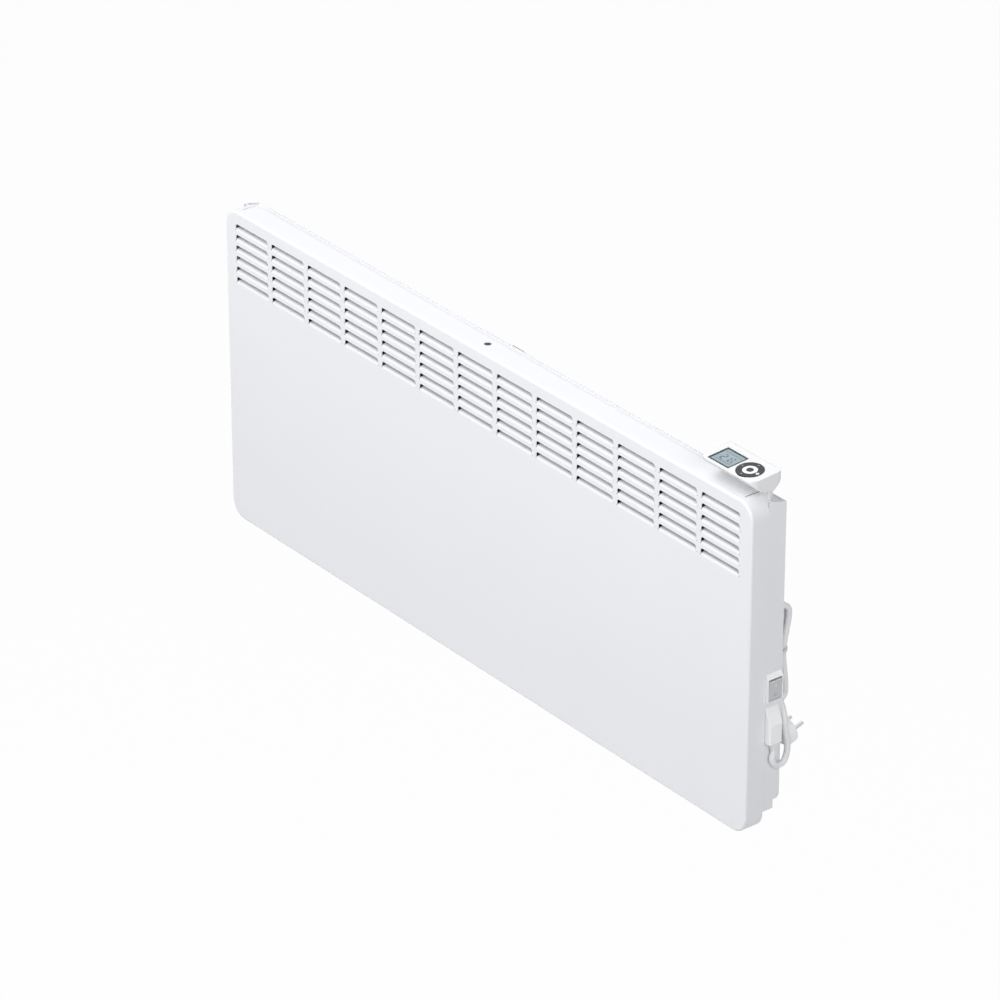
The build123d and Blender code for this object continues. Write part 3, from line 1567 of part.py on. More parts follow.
def build_all():
    parts = {
        "front_cover": make_front_cover(),
        "rear_casing": make_rear_casing(),
        "cover_screws": make_cover_screws(),
        "bracket_upper_rail": make_bracket_upper_rail(),
        "bracket_lower_rail": make_bracket_lower_rail(),
        "bracket_uprights": make_bracket_uprights(),
        "bracket_rivets": make_bracket_rivets(),
        "latch_guide": make_latch_guide(),
        "bracket_latch": make_bracket_latch(),
        "latch_spring": make_latch_spring(),
        "element_profile": make_element_profile(),
        "element_rod": make_element_rod(),
        "element_bushes": make_element_bushes(),
        "element_bracket_left": make_element_bracket_left(),
        "element_bracket_right": make_element_bracket_right(),
        "heat_shield": make_heat_shield(),
        "air_deflector": make_air_deflector(),
        "partition_plate": make_partition_plate(),
        "cutout_bracket": make_cutout_bracket(),
        "thermal_cutout": make_thermal_cutout(),
        "terminal_block": make_terminal_block(),
        "power_board": make_power_board(),
        "power_board_components": make_power_board_components(),
        "board_standoffs": make_board_standoffs(),
        "room_sensor": make_room_sensor(),
        "sensor_clip": make_sensor_clip(),
        "control_cover": make_control_cover(),
        "control_base": make_control_base(),
        "control_board": make_control_board(),
        "board_pillars": make_board_pillars(),
        "display_module": make_display_module(),
        "display_frame": make_display_frame(),
        "display_window": make_display_window(),
        "key_right": key_segment(0),
        "key_back": key_segment(90),
        "key_left": key_segment(180),
        "key_front": key_segment(270),
        "key_collar": make_key_collar(),
        "key_centre": make_centre_key(),
        "key_domes": make_key_domes(),
        "switch_frame": make_switch_frame(),
        "switch_rocker": make_switch_rocker(),
        "cord_entry_housing": make_cord_entry_housing(),
        "cord_gland": make_cord_gland(),
        "supply_cord": cord_tube("supply cord", loop_points()),
        "cord_hank": make_cord_hank(),
        "cord_tail": cord_tube("cord tail", tail_points()),
        "hank_tie": make_hank_tie(),
        "plug_body": make_plug_body(),
        "plug_pins": make_plug_pins(),
        "plug_earth_clips": make_plug_earth_clips(),
    }
    return parts


def solids_of(shape):
    if isinstance(shape, list):
        return [solid for item in shape for solid in item.solids()]
    return list(shape.solids())


if __name__ == "__main__":
    os.makedirs("parts", exist_ok=True)
    for name, shape in build_all().items():
        export_step(Compound(children=solids_of(shape)), f"parts/{name}.step")
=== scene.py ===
"""Wall panel convector heater: finishes, cord, small marks, light and camera.

Metres, +Z up, +X to the viewer's right, +Y into the wall. The origin is the middle of the wall
bracket's four screw holes, on the wall plane.
"""

from __future__ import annotations

import logging
import math
from dataclasses import dataclass, field
from enum import Enum
from typing import Iterable, Sequence

import bmesh
import bpy
from mathutils import Matrix, Vector

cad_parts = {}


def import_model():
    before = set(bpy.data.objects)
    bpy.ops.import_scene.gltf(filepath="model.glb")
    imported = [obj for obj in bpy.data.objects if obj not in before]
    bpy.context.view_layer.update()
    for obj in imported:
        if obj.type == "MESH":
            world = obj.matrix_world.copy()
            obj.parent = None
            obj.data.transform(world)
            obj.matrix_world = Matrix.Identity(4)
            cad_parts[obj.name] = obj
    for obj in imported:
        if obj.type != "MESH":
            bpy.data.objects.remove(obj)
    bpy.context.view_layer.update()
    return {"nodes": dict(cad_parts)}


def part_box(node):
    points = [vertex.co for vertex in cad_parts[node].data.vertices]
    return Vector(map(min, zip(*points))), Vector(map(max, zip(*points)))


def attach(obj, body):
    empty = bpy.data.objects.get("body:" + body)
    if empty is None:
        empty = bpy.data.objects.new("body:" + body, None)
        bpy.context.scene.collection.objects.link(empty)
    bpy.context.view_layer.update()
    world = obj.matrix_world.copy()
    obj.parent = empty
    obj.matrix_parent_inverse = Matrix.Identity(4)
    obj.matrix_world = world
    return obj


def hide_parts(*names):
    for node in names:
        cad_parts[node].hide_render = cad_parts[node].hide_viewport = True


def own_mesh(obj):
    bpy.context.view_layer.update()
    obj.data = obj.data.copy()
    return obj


LOG = logging.getLogger("heater")
MM = 0.001
SHARP_ANGLE = math.radians(35)
Colour = tuple[float, float, float]
Place = tuple[float, float, float]
Settings = dict[str, object]
Inputs = dict[int | str, object]
Nodes = dict[str, bpy.types.Object]


class Body(Enum):
    """The bodies that new pieces ride on."""

    HEATER = "heater"
    ROCKER = "rocker"
    RIGHT_KEY = "right_key"
    REAR_KEY = "rear_key"
    LEFT_KEY = "left_key"
    FRONT_KEY = "front_key"


class Slot(Enum):
    """Names of material slots; no new piece in this script is given one."""

    DISPLAY = "display_dark"
    MARKS = "collar_white"
    CORD = "cord_white"
    SPRING = "spring_steel"


class Grain(Enum):
    """Which way the fine lines of a metal surface run, as squeezes along the axes."""

    ALONG_X = (0.03, 1.0, 1.0)
    ALONG_Y = (1.0, 0.05, 1.0)
    EVEN = (1.0, 1.0, 1.0)


# ---- shader maths
class Signal:
    """A number that varies over a surface, written with ordinary operators."""

    def __init__(self, graph: "Graph", socket: bpy.types.NodeSocket) -> None:
        """Wraps one output socket of a node graph."""
        self.graph = graph
        self.socket = socket

    def _with(self, operation: str, other: "Signal | float", swapped: bool = False) -> "Signal":
        """Adds a Math node.

        Args:
            operation: The Math node's operation.
            other: The second operand.
            swapped: True if other comes first.

        Returns:
            The result of the operation.
        """
        pair = (other, self) if swapped else (self, other)
        return self.graph.value("ShaderNodeMath", {"operation": operation}, {0: pair[0], 1: pair[1]})

    def __add__(self, other: "Signal | float") -> "Signal":
        """self + other."""
        return self._with("ADD", other)

    def __radd__(self, other: float) -> "Signal":
        """other + self."""
        return self._with("ADD", other, True)

    def __sub__(self, other: "Signal | float") -> "Signal":
        """self - other."""
        return self._with("SUBTRACT", other)

    def __rsub__(self, other: float) -> "Signal":
        """other - self."""
        return self._with("SUBTRACT", other, True)

    def __mul__(self, other: "Signal | float") -> "Signal":
        """self * other."""
        return self._with("MULTIPLY", other)

    def __rmul__(self, other: float) -> "Signal":
        """other * self."""
        return self._with("MULTIPLY", other, True)

    def __gt__(self, other: "Signal | float") -> "Signal":
        """1 where self is greater than other, else 0."""
        return self._with("GREATER_THAN", other)

    def __lt__(self, other: "Signal | float") -> "Signal":
        """1 where self is less than other, else 0."""
        return self._with("LESS_THAN", other)

    def maximum(self, other: "Signal | float") -> "Signal":
        """The greater of the two."""
        return self._with("MAXIMUM", other)


class Graph:
    """Builds one material's or world's nodes."""

    def __init__(self, tree: bpy.types.NodeTree) -> None:
        """Starts from an empty node tree."""
        self.tree = tree
        tree.nodes.clear()

    def node(
        self, kind: str, settings: Settings | None = None, inputs: Inputs | None = None
    ) -> bpy.types.Node:
        """Adds a node, sets it up and links its inputs.

        Args:
            kind: The node's type name.
            settings: Attributes, set before the inputs.
            inputs: Values, signals or sockets by input name or number.

        Returns:
            The node.
        """
        made = self.tree.nodes.new(kind)
        for name, value in (settings or {}).items():
            setattr(made, name, value)
        for name, value in (inputs or {}).items():
            source = value.socket if isinstance(value, Signal) else value
            if isinstance(source, bpy.types.NodeSocket):
                self.tree.links.new(source, made.inputs[name])
            else:
                made.inputs[name].default_value = source
        return made

    def value(
        self, kind: str, settings: Settings | None = None, inputs: Inputs | None = None, output: int = 0
    ) -> Signal:
        """As node, but returns one output as a signal."""
        return Signal(self, self.node(kind, settings, inputs).outputs[output])

    def place(self) -> bpy.types.NodeSocket:
        """Object coordinates, which are the model's own."""
        return self.node("ShaderNodeTexCoord").outputs["Object"]

    def facing(self) -> bpy.types.NodeSocket:
        """The way that the surface faces."""
        return self.node("ShaderNodeNewGeometry").outputs["Normal"]

    def axes(self, vector: bpy.types.NodeSocket) -> list[Signal]:
        """A vector's three numbers."""
        parts = self.node("ShaderNodeSeparateXYZ", {}, {0: vector})
        return [Signal(self, part) for part in parts.outputs]

    def noise(self, size: float, detail: float = 3.0, stretch: Sequence[float] = (1.0, 1.0, 1.0)) -> Signal:
        """Cloudy noise.

        Args:
            size: Width of one cloud, in metres.
            detail: Number of finer layers.
            stretch: How much the pattern is squeezed along each axis.

        Returns:
            Numbers round 0.5.
        """
        where = self.node("ShaderNodeMapping", {}, {"Vector": self.place(), "Scale": stretch})
        inputs: Inputs = {"Vector": where.outputs[0], "Scale": 1.0 / size, "Detail": detail}
        return self.value("ShaderNodeTexNoise", {}, inputs)

    def blend(self, factor: Signal | float, low: object, high: object) -> bpy.types.NodeSocket:
        """Mixes two colours.

        Args:
            factor: 0 gives low and 1 gives high.
            low: Colour or socket.
            high: Colour or socket.

        Returns:
            The mixed colour's socket.
        """
        # A colour Mix node takes its colours at inputs 6 and 7 and gives the mixture at output 2.
        inputs: Inputs = {0: factor}
        for number, colour in ((6, low), (7, high)):
            inputs[number] = (*colour, 1.0) if isinstance(colour, tuple) else colour
        return self.node("ShaderNodeMix", {"data_type": "RGBA"}, inputs).outputs[2]

    def bump(self, height: Signal, depth: float) -> bpy.types.NodeSocket:
        """Normals that follow a height, which counts as depth metres where it is 1."""
        inputs: Inputs = {"Height": height, "Distance": depth, "Strength": 1.0}
        return self.node("ShaderNodeBump", {}, inputs).outputs[0]


# ---- finishes
def dimmed(colour: Colour, share: float) -> Colour:
    """The colour with each channel at that share."""
    return tuple(channel * share for channel in colour)


class Finish:
    """Something that can dress a piece."""

    def nodes(self, graph: Graph) -> Inputs:
        """The shader's inputs by name."""
        raise NotImplementedError

    def material(self, name: str) -> bpy.types.Material:
        """Makes the material, once for each name.

        Args:
            name: The material's name.

        Returns:
            The material.
        """
        known = bpy.data.materials.get(name)
        if known:
            return known
        made = bpy.data.materials.new(name)
        made.use_nodes = True
        graph = Graph(made.node_tree)
        shader = graph.node("ShaderNodeBsdfPrincipled", {}, self.nodes(graph))
        graph.node("ShaderNodeOutputMaterial", {}, {"Surface": shader.outputs[0]})
        return made


@dataclass(frozen=True)
class PowderCoat(Finish):
    """Baked powder paint on steel sheet: fine orange peel and a faint cloudiness."""

    colour: Colour
    roughness: float = 0.42
    cloud_size: float = 120 * MM
    cloud_share: float = 0.975
    cloud_gloss: float = 0.08
    peel_size: float = 1.6 * MM
    peel_depth: float = 0.02 * MM
    peel_gloss: float = 0.04
    specular: float = 0.45

    def nodes(self, graph: Graph) -> Inputs:
        """Even colour, with a peel that only shows in the gloss.

        Args:
            graph: The material's graph.

        Returns:
            The shader's inputs by name.
        """
        cloud = graph.noise(self.cloud_size, 2.0)
        peel = graph.noise(self.peel_size, 2.0)
        gloss = cloud * self.cloud_gloss + (self.roughness - self.cloud_gloss / 2)
        return {
            "Base Color": graph.blend(cloud, dimmed(self.colour, self.cloud_share), self.colour),
            "Roughness": gloss + peel * self.peel_gloss,
            "Specular IOR Level": self.specular,
            "Normal": graph.bump(peel, self.peel_depth),
        }


@dataclass(frozen=True)
class LouvredCoat(Finish):
    """A powder-coated cover with painted shade on its louvre vanes and a painted shadow on the side walls
    of its right seam.
    """

    outside: PowderCoat
    front: float
    vane_depths: tuple[float, float]
    vane_top: float
    vane_reach: float
    # Share of the coat's colour left on the louvre vanes: painted shade.
    vane_shade_share: float
    seam: tuple[float, float]
    seam_depth: float
    # Near-black colour of the painted gap shadow on the seam's side walls.
    edge: Colour
    upwards: float = 0.25
    sideways: float = 0.5

    def nodes(self, graph: Graph) -> Inputs:
        """The paint, with painted shade on what faces up behind the front face, and a painted shadow on the
        right seam's side walls.

        Args:
            graph: The material's graph.

        Returns:
            The shader's inputs by name.
        """
        made = self.outside.nodes(graph)
        along, across, level = graph.axes(graph.place())
        facing = graph.axes(graph.facing())
        depth = across - self.front
        # Painted shade: upward-facing faces behind the front face, which are the louvre vanes, are darkened
        # to stand in for the shade inside the slots.
        vane_shade_mask = (depth > self.vane_depths[0]) * (depth < self.vane_depths[1]) * (facing[2] > self.upwards)
        vane_shade_mask = vane_shade_mask * (level < self.vane_top) * (along * along < self.vane_reach**2)
        # Painted shadow: the side walls of the right seam are coloured near-black to stand in for the
        # shadow in the gap.
        seam_shadow_mask = (along > self.seam[0]) * (along < self.seam[1])
        seam_shadow_mask = seam_shadow_mask * (facing[0] * facing[0] > self.sideways) * (depth > self.seam_depth)
        painted = graph.blend(vane_shade_mask, made["Base Color"], dimmed(self.outside.colour, self.vane_shade_share))
        made["Base Color"] = graph.blend(seam_shadow_mask, painted, self.edge)
        return made


@dataclass(frozen=True)
class ShadedInsideShell(Finish):
    """A powder-coated box of sheet whose inner faces are coloured near-black as painted shade inside the
    casing.
    """

    outside: PowderCoat
    inside: Colour
    middle: Place
    reach: float
    lid: float
    hole_across: float
    hole_radius: float

    def nodes(self, graph: Graph) -> Inputs:
        """The paint, and painted shade on the inner faces between the side walls and below the release
        hole.

        Args:
            graph: The material's graph.

        Returns:
            The shader's inputs by name.
        """
        made = self.outside.nodes(graph)
        along, across, level = graph.axes(graph.place())
        outwards = graph.node(
            "ShaderNodeVectorMath", {"operation": "SUBTRACT"}, {0: graph.place(), 1: self.middle}
        )
        pair: Inputs = {0: graph.facing(), 1: outwards.outputs[0]}
        agree = graph.value("ShaderNodeVectorMath", {"operation": "DOT_PRODUCT"}, pair, 1)
        # Painted shade: inward-facing faces between the side walls, and the area under the release hole,
        # take the near-black inside colour for the dark inside of the casing.
        inner = (agree < 0.0) * (level < self.lid) * (along * along < self.reach**2)
        from_hole = across - self.hole_across
        below_hole = along * along + from_hole * from_hole < self.hole_radius**2
        shaded_inside = inner.maximum(below_hole * (level > self.lid))
        made["Base Color"] = graph.blend(shaded_inside, made["Base Color"], self.inside)
        return made


@dataclass(frozen=True)
class MouldedPlastic(Finish):
    """Spark-eroded plastic, with a grain as fine as the mould's."""

    colour: Colour
    roughness: float = 0.38
    grain_size: float = 0.5 * MM
    grain_depth: float = 0.008 * MM
    grain_gloss: float = 0.1
    cloud_size: float = 30 * MM
    cloud_share: float = 0.96

    def nodes(self, graph: Graph) -> Inputs:
        """Colour that varies a little, and a fine grain.

        Args:
            graph: The material's graph.

        Returns:
            The shader's inputs by name.
        """
        grain = graph.noise(self.grain_size, 2.0)
        cloud = graph.noise(self.cloud_size, 2.0)
        return {
            "Base Color": graph.blend(cloud, dimmed(self.colour, self.cloud_share), self.colour),
            "Roughness": grain * self.grain_gloss + (self.roughness - self.grain_gloss / 2),
            "Normal": graph.bump(grain, self.grain_depth),
        }


@dataclass(frozen=True)
class BareMetal(Finish):
    """Plated, rolled or drawn metal, with fine lines along one axis."""

    colour: Colour
    roughness: float = 0.35
    line_size: float = 0.8 * MM
    grain: Grain = Grain.ALONG_X
    line_depth: float = 0.006 * MM
    line_tone: float = 0.6
    line_gloss: float = 0.18
    stain_size: float = 25 * MM
    stain_share: float = 0.86
    stain_tone: float = 0.4
    stain_gloss: float = 0.06

    def nodes(self, graph: Graph) -> Inputs:
        """Lines along one axis, and stains.

        Args:
            graph: The material's graph.

        Returns:
            The shader's inputs by name.
        """
        lines = graph.noise(self.line_size, 3.0, self.grain.value)
        stain = graph.noise(self.stain_size, 4.0)
        worn = lines * self.line_tone + stain * self.stain_tone
        gloss = lines * self.line_gloss + (self.roughness - self.line_gloss / 2)
        return {
            "Base Color": graph.blend(worn, dimmed(self.colour, self.stain_share), self.colour),
            "Metallic": 1.0,
            "Roughness": gloss + stain * self.stain_gloss,
            "Normal": graph.bump(lines, self.line_depth),
        }


@dataclass(frozen=True)
class SpangledZinc(Finish):
    """Hot-dipped zinc with its crystal pattern."""

    colour: Colour
    roughness: float = 0.3
    spangle: float = 7 * MM
    spangle_share: float = 0.8
    spangle_tone: float = 0.7
    spangle_gloss: float = 0.16
    fine_size: float = 1.2 * MM
    fine_depth: float = 0.006 * MM
    fine_tone: float = 0.3
    fine_gloss: float = 0.08

    def nodes(self, graph: Graph) -> Inputs:
        """Cells of slightly different grey and gloss.

        Args:
            graph: The material's graph.

        Returns:
            The shader's inputs by name.
        """
        pattern: Inputs = {"Vector": graph.place(), "Scale": 1.0 / self.spangle}
        cells = graph.node("ShaderNodeTexVoronoi", {"feature": "F1"}, pattern)
        shade = graph.value("ShaderNodeSeparateColor", {}, {0: cells.outputs["Color"]})
        fine = graph.noise(self.fine_size, 3.0)
        mottle = shade * self.spangle_tone + fine * self.fine_tone
        return {
            "Base Color": graph.blend(mottle, dimmed(self.colour, self.spangle_share), self.colour),
            "Metallic": 1.0,
            "Roughness": shade * self.spangle_gloss + fine * self.fine_gloss + self.roughness,
            "Normal": graph.bump(fine, self.fine_depth),
        }


@dataclass(frozen=True)
class BlueScreen(Finish):
    """Pale display glass over a blue background, a little darker at its edges."""

    colour: Colour
    edge_colour: Colour
    middle: Place
    half_size: tuple[float, float]
    roughness: float = 0.1
    edge_tone: float = 0.7
    haze_size: float = 8 * MM
    haze_tone: float = 0.2
    haze_gloss: float = 0.04
    coat: float = 0.6
    coat_roughness: float = 0.04

    def nodes(self, graph: Graph) -> Inputs:
        """Colour that fades towards the rim.

        Args:
            graph: The material's graph.

        Returns:
            The shader's inputs by name.
        """
        where = graph.axes(graph.place())
        along = where[0] - self.middle[0]
        across = where[1] - self.middle[1]
        near_side = (along * along) * (1.0 / self.half_size[0] ** 2)
        near_end = (across * across) * (1.0 / self.half_size[1] ** 2)
        edge = near_side.maximum(near_end)
        haze = graph.noise(self.haze_size, 2.0)
        tone = edge * self.edge_tone + haze * self.haze_tone
        return {
            "Base Color": graph.blend(tone, self.colour, self.edge_colour),
            "Roughness": haze * self.haze_gloss + self.roughness,
            "Coat Weight": self.coat,
            "Coat Roughness": self.coat_roughness,
        }


@dataclass(frozen=True)
class CircuitBoard(Finish):
    """Solder-masked board with faint tracks."""

    colour: Colour
    roughness: float = 0.3
    tracks_in_a_metre: float = 120.0
    track_width: float = 0.04
    track_tone: float = 0.5
    track_gloss: float = 0.1

    def nodes(self, graph: Graph) -> Inputs:
        """Green with lighter tracks.

        Args:
            graph: The material's graph.

        Returns:
            The shader's inputs by name.
        """
        pattern: Inputs = {
            "Vector": graph.place(),
            "Scale": self.tracks_in_a_metre,
            "Mortar Size": self.track_width,
            "Color1": (0, 0, 0, 1),
            "Color2": (0.2, 0.2, 0.2, 1),
            "Mortar": (1, 1, 1, 1),
        }
        brick = graph.node("ShaderNodeTexBrick", {"offset": 0.5}, pattern)
        tracks = graph.value("ShaderNodeSeparateColor", {}, {0: brick.outputs["Color"]})
        lighter = tuple(min(1.0, channel * 1.6 + 0.03) for channel in self.colour)
        return {
            "Base Color": graph.blend(tracks * self.track_tone, self.colour, lighter),
            "Roughness": tracks * self.track_gloss + self.roughness,
        }


@dataclass(frozen=True)
class CordSheath(Finish):
    """Soft cord sheath: satin, with a slight waviness from the cores inside."""

    colour: Colour
    roughness: float = 0.4
    smudge_size: float = 18 * MM
    smudge_share: float = 0.94
    smudge_gloss: float = 0.1
    skin_size: float = 1.5 * MM
    skin_depth: float = 0.02 * MM

    def nodes(self, graph: Graph) -> Inputs:
        """Faint smudges and a fine surface.

        Args:
            graph: The material's graph.

        Returns:
            The shader's inputs by name.
        """
        smudge = graph.noise(self.smudge_size, 3.0)
        skin = graph.noise(self.skin_size, 2.0)
        return {
            "Base Color": graph.blend(smudge, dimmed(self.colour, self.smudge_share), self.colour),
            "Roughness": smudge * self.smudge_gloss + self.roughness,
            "Normal": graph.bump(skin, self.skin_depth),
        }


WHITE_COAT = PowderCoat((0.80, 0.805, 0.83))
CASING_COAT = PowderCoat((0.80, 0.805, 0.83), 0.46)
# Near-black for the rear casing's inner faces: painted shade inside the casing.
INSIDE_SHADE: Colour = (0.035, 0.036, 0.038)
HOUSING_WHITE = MouldedPlastic((0.78, 0.785, 0.795), 0.4)
ENTRY_WHITE = MouldedPlastic((0.92, 0.925, 0.935), 0.36)
COLLAR_WHITE = MouldedPlastic((0.86, 0.865, 0.87), 0.35)
KEY_DARK = MouldedPlastic((0.010, 0.013, 0.018), 0.5)
RIM_DARK = MouldedPlastic((0.012, 0.015, 0.020), 0.3)
ROCKER_GREY = MouldedPlastic((0.56, 0.565, 0.585), 0.4)
CASE_BLACK = MouldedPlastic((0.02, 0.02, 0.022), 0.45)
NYLON = MouldedPlastic((0.72, 0.70, 0.62), 0.5)
CERAMIC = MouldedPlastic((0.72, 0.68, 0.58), 0.75, 0.8 * MM, 0.03 * MM)
DOME_RUBBER = MouldedPlastic((0.12, 0.125, 0.13), 0.7)
TIE_WHITE = MouldedPlastic((0.74, 0.745, 0.76), 0.5)
MARK_WHITE = MouldedPlastic((0.90, 0.905, 0.91), 0.45)
MARK_FAINT = MouldedPlastic((0.34, 0.35, 0.37), 0.5)
MARK_ENGRAVED = MouldedPlastic((0.30, 0.31, 0.33), 0.5)
FIGURE_DARK = MouldedPlastic((0.015, 0.03, 0.045), 0.4)
PLUG_WHITE = MouldedPlastic((0.92, 0.925, 0.935), 0.36)
ZINC = SpangledZinc((0.62, 0.63, 0.65))
PLATED = BareMetal((0.66, 0.67, 0.69), 0.3, 0.3 * MM, Grain.EVEN)
BRIGHT_SHEET = BareMetal((0.78, 0.79, 0.8), 0.26)
# Near-black sheet for the heat shield, air deflector and partition plate: painted shade for the dark inside
# of the casing.
SHADE_DARK_SHEET = BareMetal((0.09, 0.088, 0.085), 0.55)
BLACKENED = BareMetal((0.10, 0.10, 0.105), 0.5)
EXTRUDED = BareMetal((0.42, 0.42, 0.425), 0.45)
HEATED_STEEL = BareMetal((0.22, 0.2, 0.19), 0.5)
NICKEL = BareMetal((0.60, 0.60, 0.61), 0.22, 0.4 * MM, Grain.ALONG_Y)
SPRING_WIRE = BareMetal((0.5, 0.5, 0.52), 0.3, 0.3 * MM, Grain.EVEN)
BOARD_GREEN = CircuitBoard((0.02, 0.13, 0.05))
SHEATH = CordSheath((0.82, 0.825, 0.84))


def dress(piece: bpy.types.Object, name: str, finish: Finish) -> None:
    """Gives a piece its one material."""
    piece.data.materials.clear()
    piece.data.materials.append(finish.material(name))


def dress_nodes(nodes: Nodes, finishes: dict[str, Finish]) -> None:
    """Dresses some of the model's nodes.

    Args:
        nodes: The model's nodes by name.
        finishes: The finish of each node to dress, by name.
    """
    for name, finish in finishes.items():
        dress(nodes[name], f"{name}_finish", finish)
        LOG.info("%s dressed", name)


# ---- mesh helpers
def finished(
    shape: bmesh.types.BMesh, name: str, body: Body, finish: Finish, smooth: bool = False
) -> bpy.types.Object:
    """Turns a bmesh into a piece that rides on a body.

    Args:
        shape: The shape, in the model's frame, in metres. It is freed.
        name: The piece's name.
        body: The body that it moves with.
        finish: What it is dressed in.
        smooth: True if gentle edges are shaded smooth.

    Returns:
        The piece.
    """
    bmesh.ops.recalc_face_normals(shape, faces=shape.faces)
    mesh = bpy.data.meshes.new(name)
    shape.to_mesh(mesh)
    shape.free()
    if smooth:
        mesh.shade_smooth()
        mesh.set_sharp_from_angle(angle=SHARP_ANGLE)
    piece = bpy.data.objects.new(name, mesh)
    bpy.context.scene.collection.objects.link(piece)
    dress(piece, f"{name}_finish", finish)
    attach(piece, body.value)
    LOG.info("%s: %d faces, rides on %s", name, len(mesh.polygons), body.value)
    return piece


def add_bar(shape: bmesh.types.BMesh, size: Sequence[float], place: Matrix) -> None:
    """Adds a flat bar.

    Args:
        shape: The bmesh to add to.
        size: Length along each of its own axes, in metres.
        place: Where its middle goes, and how it is turned.
    """
    bmesh.ops.create_cube(shape, size=1.0, matrix=place @ Matrix.Diagonal((*size, 1.0)))


def add_disc(
    shape: bmesh.types.BMesh, radius: float, height: float, place: Matrix, sides: int = 16
) -> None:
    """Adds a thin disc, or a triangle where it has three sides.

    Args:
        shape: The bmesh to add to.
        radius: Its radius.
        height: Length along its own Z axis.
        place: Where its middle goes, and how it is turned.
        sides: Number of facets round it.
    """
    bmesh.ops.create_cone(
        shape, cap_ends=True, segments=sides, radius1=radius, radius2=radius, depth=height, matrix=place
    )


# ---- casing and what is in it
@dataclass
class Casing:
    """Front cover, rear casing and the parts that are sealed inside."""

    middle: Place = (0.0, -0.075, -0.060)
    front: float = -0.100
    vane_depths: tuple[float, float] = (0.6 * MM, 12.0 * MM)
    vane_top: float = 0.150
    vane_reach: float = 0.512
    # Share of the coat's colour left on the louvre vanes: painted shade.
    vane_shade_share: float = 0.88
    seam: float = 0.5004
    seam_half: float = 0.9 * MM
    seam_depth: float = 9.0 * MM
    # Near-black colour of the right seam's side walls: a painted gap shadow.
    seam_shadow: Colour = (0.05, 0.05, 0.055)
    top_wall: float = 0.1518
    walls_reach: float = 0.5195
    hole_across: float = -0.080
    hole_radius: float = 5.2 * MM

    def cover_finish(self) -> LouvredCoat:
        """The front cover's finish.

        Returns:
            The finish.
        """
        return LouvredCoat(
            outside=WHITE_COAT,
            front=self.front,
            vane_depths=self.vane_depths,
            vane_top=self.vane_top,
            vane_reach=self.vane_reach,
            vane_shade_share=self.vane_shade_share,
            seam=(self.seam - self.seam_half, self.seam + self.seam_half),
            seam_depth=self.seam_depth,
            edge=self.seam_shadow,
        )

    def casing_finish(self) -> ShadedInsideShell:
        """The rear casing's finish.

        Returns:
            The finish.
        """
        return ShadedInsideShell(
            outside=CASING_COAT,
            inside=INSIDE_SHADE,
            middle=self.middle,
            reach=self.walls_reach,
            lid=self.top_wall,
            hole_across=self.hole_across,
            hole_radius=self.hole_radius,
        )

    def dress_all(self, nodes: Nodes) -> None:
        """Dresses every node of the casing.

        Args:
            nodes: The model's nodes by name.
        """
        finishes: dict[str, Finish] = {
            "front_cover": self.cover_finish(),
            "rear_casing": self.casing_finish(),
            "cover_screws": PLATED,
            "element_profile": EXTRUDED,
            "element_rod": HEATED_STEEL,
            "element_bushes": CERAMIC,
            "element_bracket_left": BRIGHT_SHEET,
            "element_bracket_right": BRIGHT_SHEET,
            # Heat shield, air deflector and partition plate are near-black: painted shade inside the
            # casing.
            "heat_shield": SHADE_DARK_SHEET,
            "air_deflector": SHADE_DARK_SHEET,
            "partition_plate": SHADE_DARK_SHEET,
            "cutout_bracket": BRIGHT_SHEET,
            "thermal_cutout": CASE_BLACK,
            "terminal_block": NYLON,
            "power_board": BOARD_GREEN,
            "power_board_components": CASE_BLACK,
            "board_standoffs": NYLON,
            "room_sensor": CASE_BLACK,
            "sensor_clip": NYLON,
        }
        dress_nodes(nodes, finishes)


# ---- wall bracket
@dataclass
class WallBracket:
    """Rails, uprights, latch and spring behind the heater."""

    spring_foot: Place = (0.0, -0.0398, 0.1185)
    spring_height: float = 15.9 * MM
    spring_radius: float = 4.0 * MM
    spring_wire: float = 0.9 * MM
    spring_turns: int = 3
    wire_sides: int = 10
    turn_steps: int = 24
    latch_travel: float = 5.0 * MM
    end_gap: float = 0.1 * MM

    def spring(self) -> bpy.types.Object:
        """Coil spring of the latch, as one fixed helix; it does not close as the latch goes down.

        Returns:
            The piece.
        """
        shape = bmesh.new()
        low = self.spring_wire / 2 + self.end_gap
        rise = self.spring_height - self.spring_wire - 2 * self.end_gap
        foot = Matrix.Translation(self.spring_foot) @ Matrix.Translation((self.spring_radius, 0, low))
        bmesh.ops.create_circle(
            shape,
            cap_ends=True,
            segments=self.wire_sides,
            radius=self.spring_wire / 2,
            matrix=foot @ Matrix.Rotation(math.radians(90), 4, "X"),
        )
        steps = self.spring_turns * self.turn_steps
        bmesh.ops.spin(
            shape,
            geom=shape.verts[:] + shape.edges[:] + shape.faces[:],
            cent=self.spring_foot,
            axis=(0, 0, 1),
            dvec=(0, 0, rise / steps),
            angle=math.tau * self.spring_turns,
            steps=steps,
            use_duplicate=False,
        )
        piece = finished(shape, "coil_spring", Body.HEATER, SPRING_WIRE, True)
        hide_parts("latch_spring")
        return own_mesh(piece)

    def dress_all(self, nodes: Nodes) -> None:
        """Dresses every node of the bracket and adds the spring.

        Args:
            nodes: The model's nodes by name.
        """
        finishes: dict[str, Finish] = {
            "bracket_upper_rail": ZINC,
            "bracket_lower_rail": ZINC,
            "bracket_uprights": ZINC,
            "bracket_rivets": PLATED,
            "latch_guide": NYLON,
            "bracket_latch": BLACKENED,
            "latch_spring": SPRING_WIRE,
        }
        dress_nodes(nodes, finishes)
        self.spring()


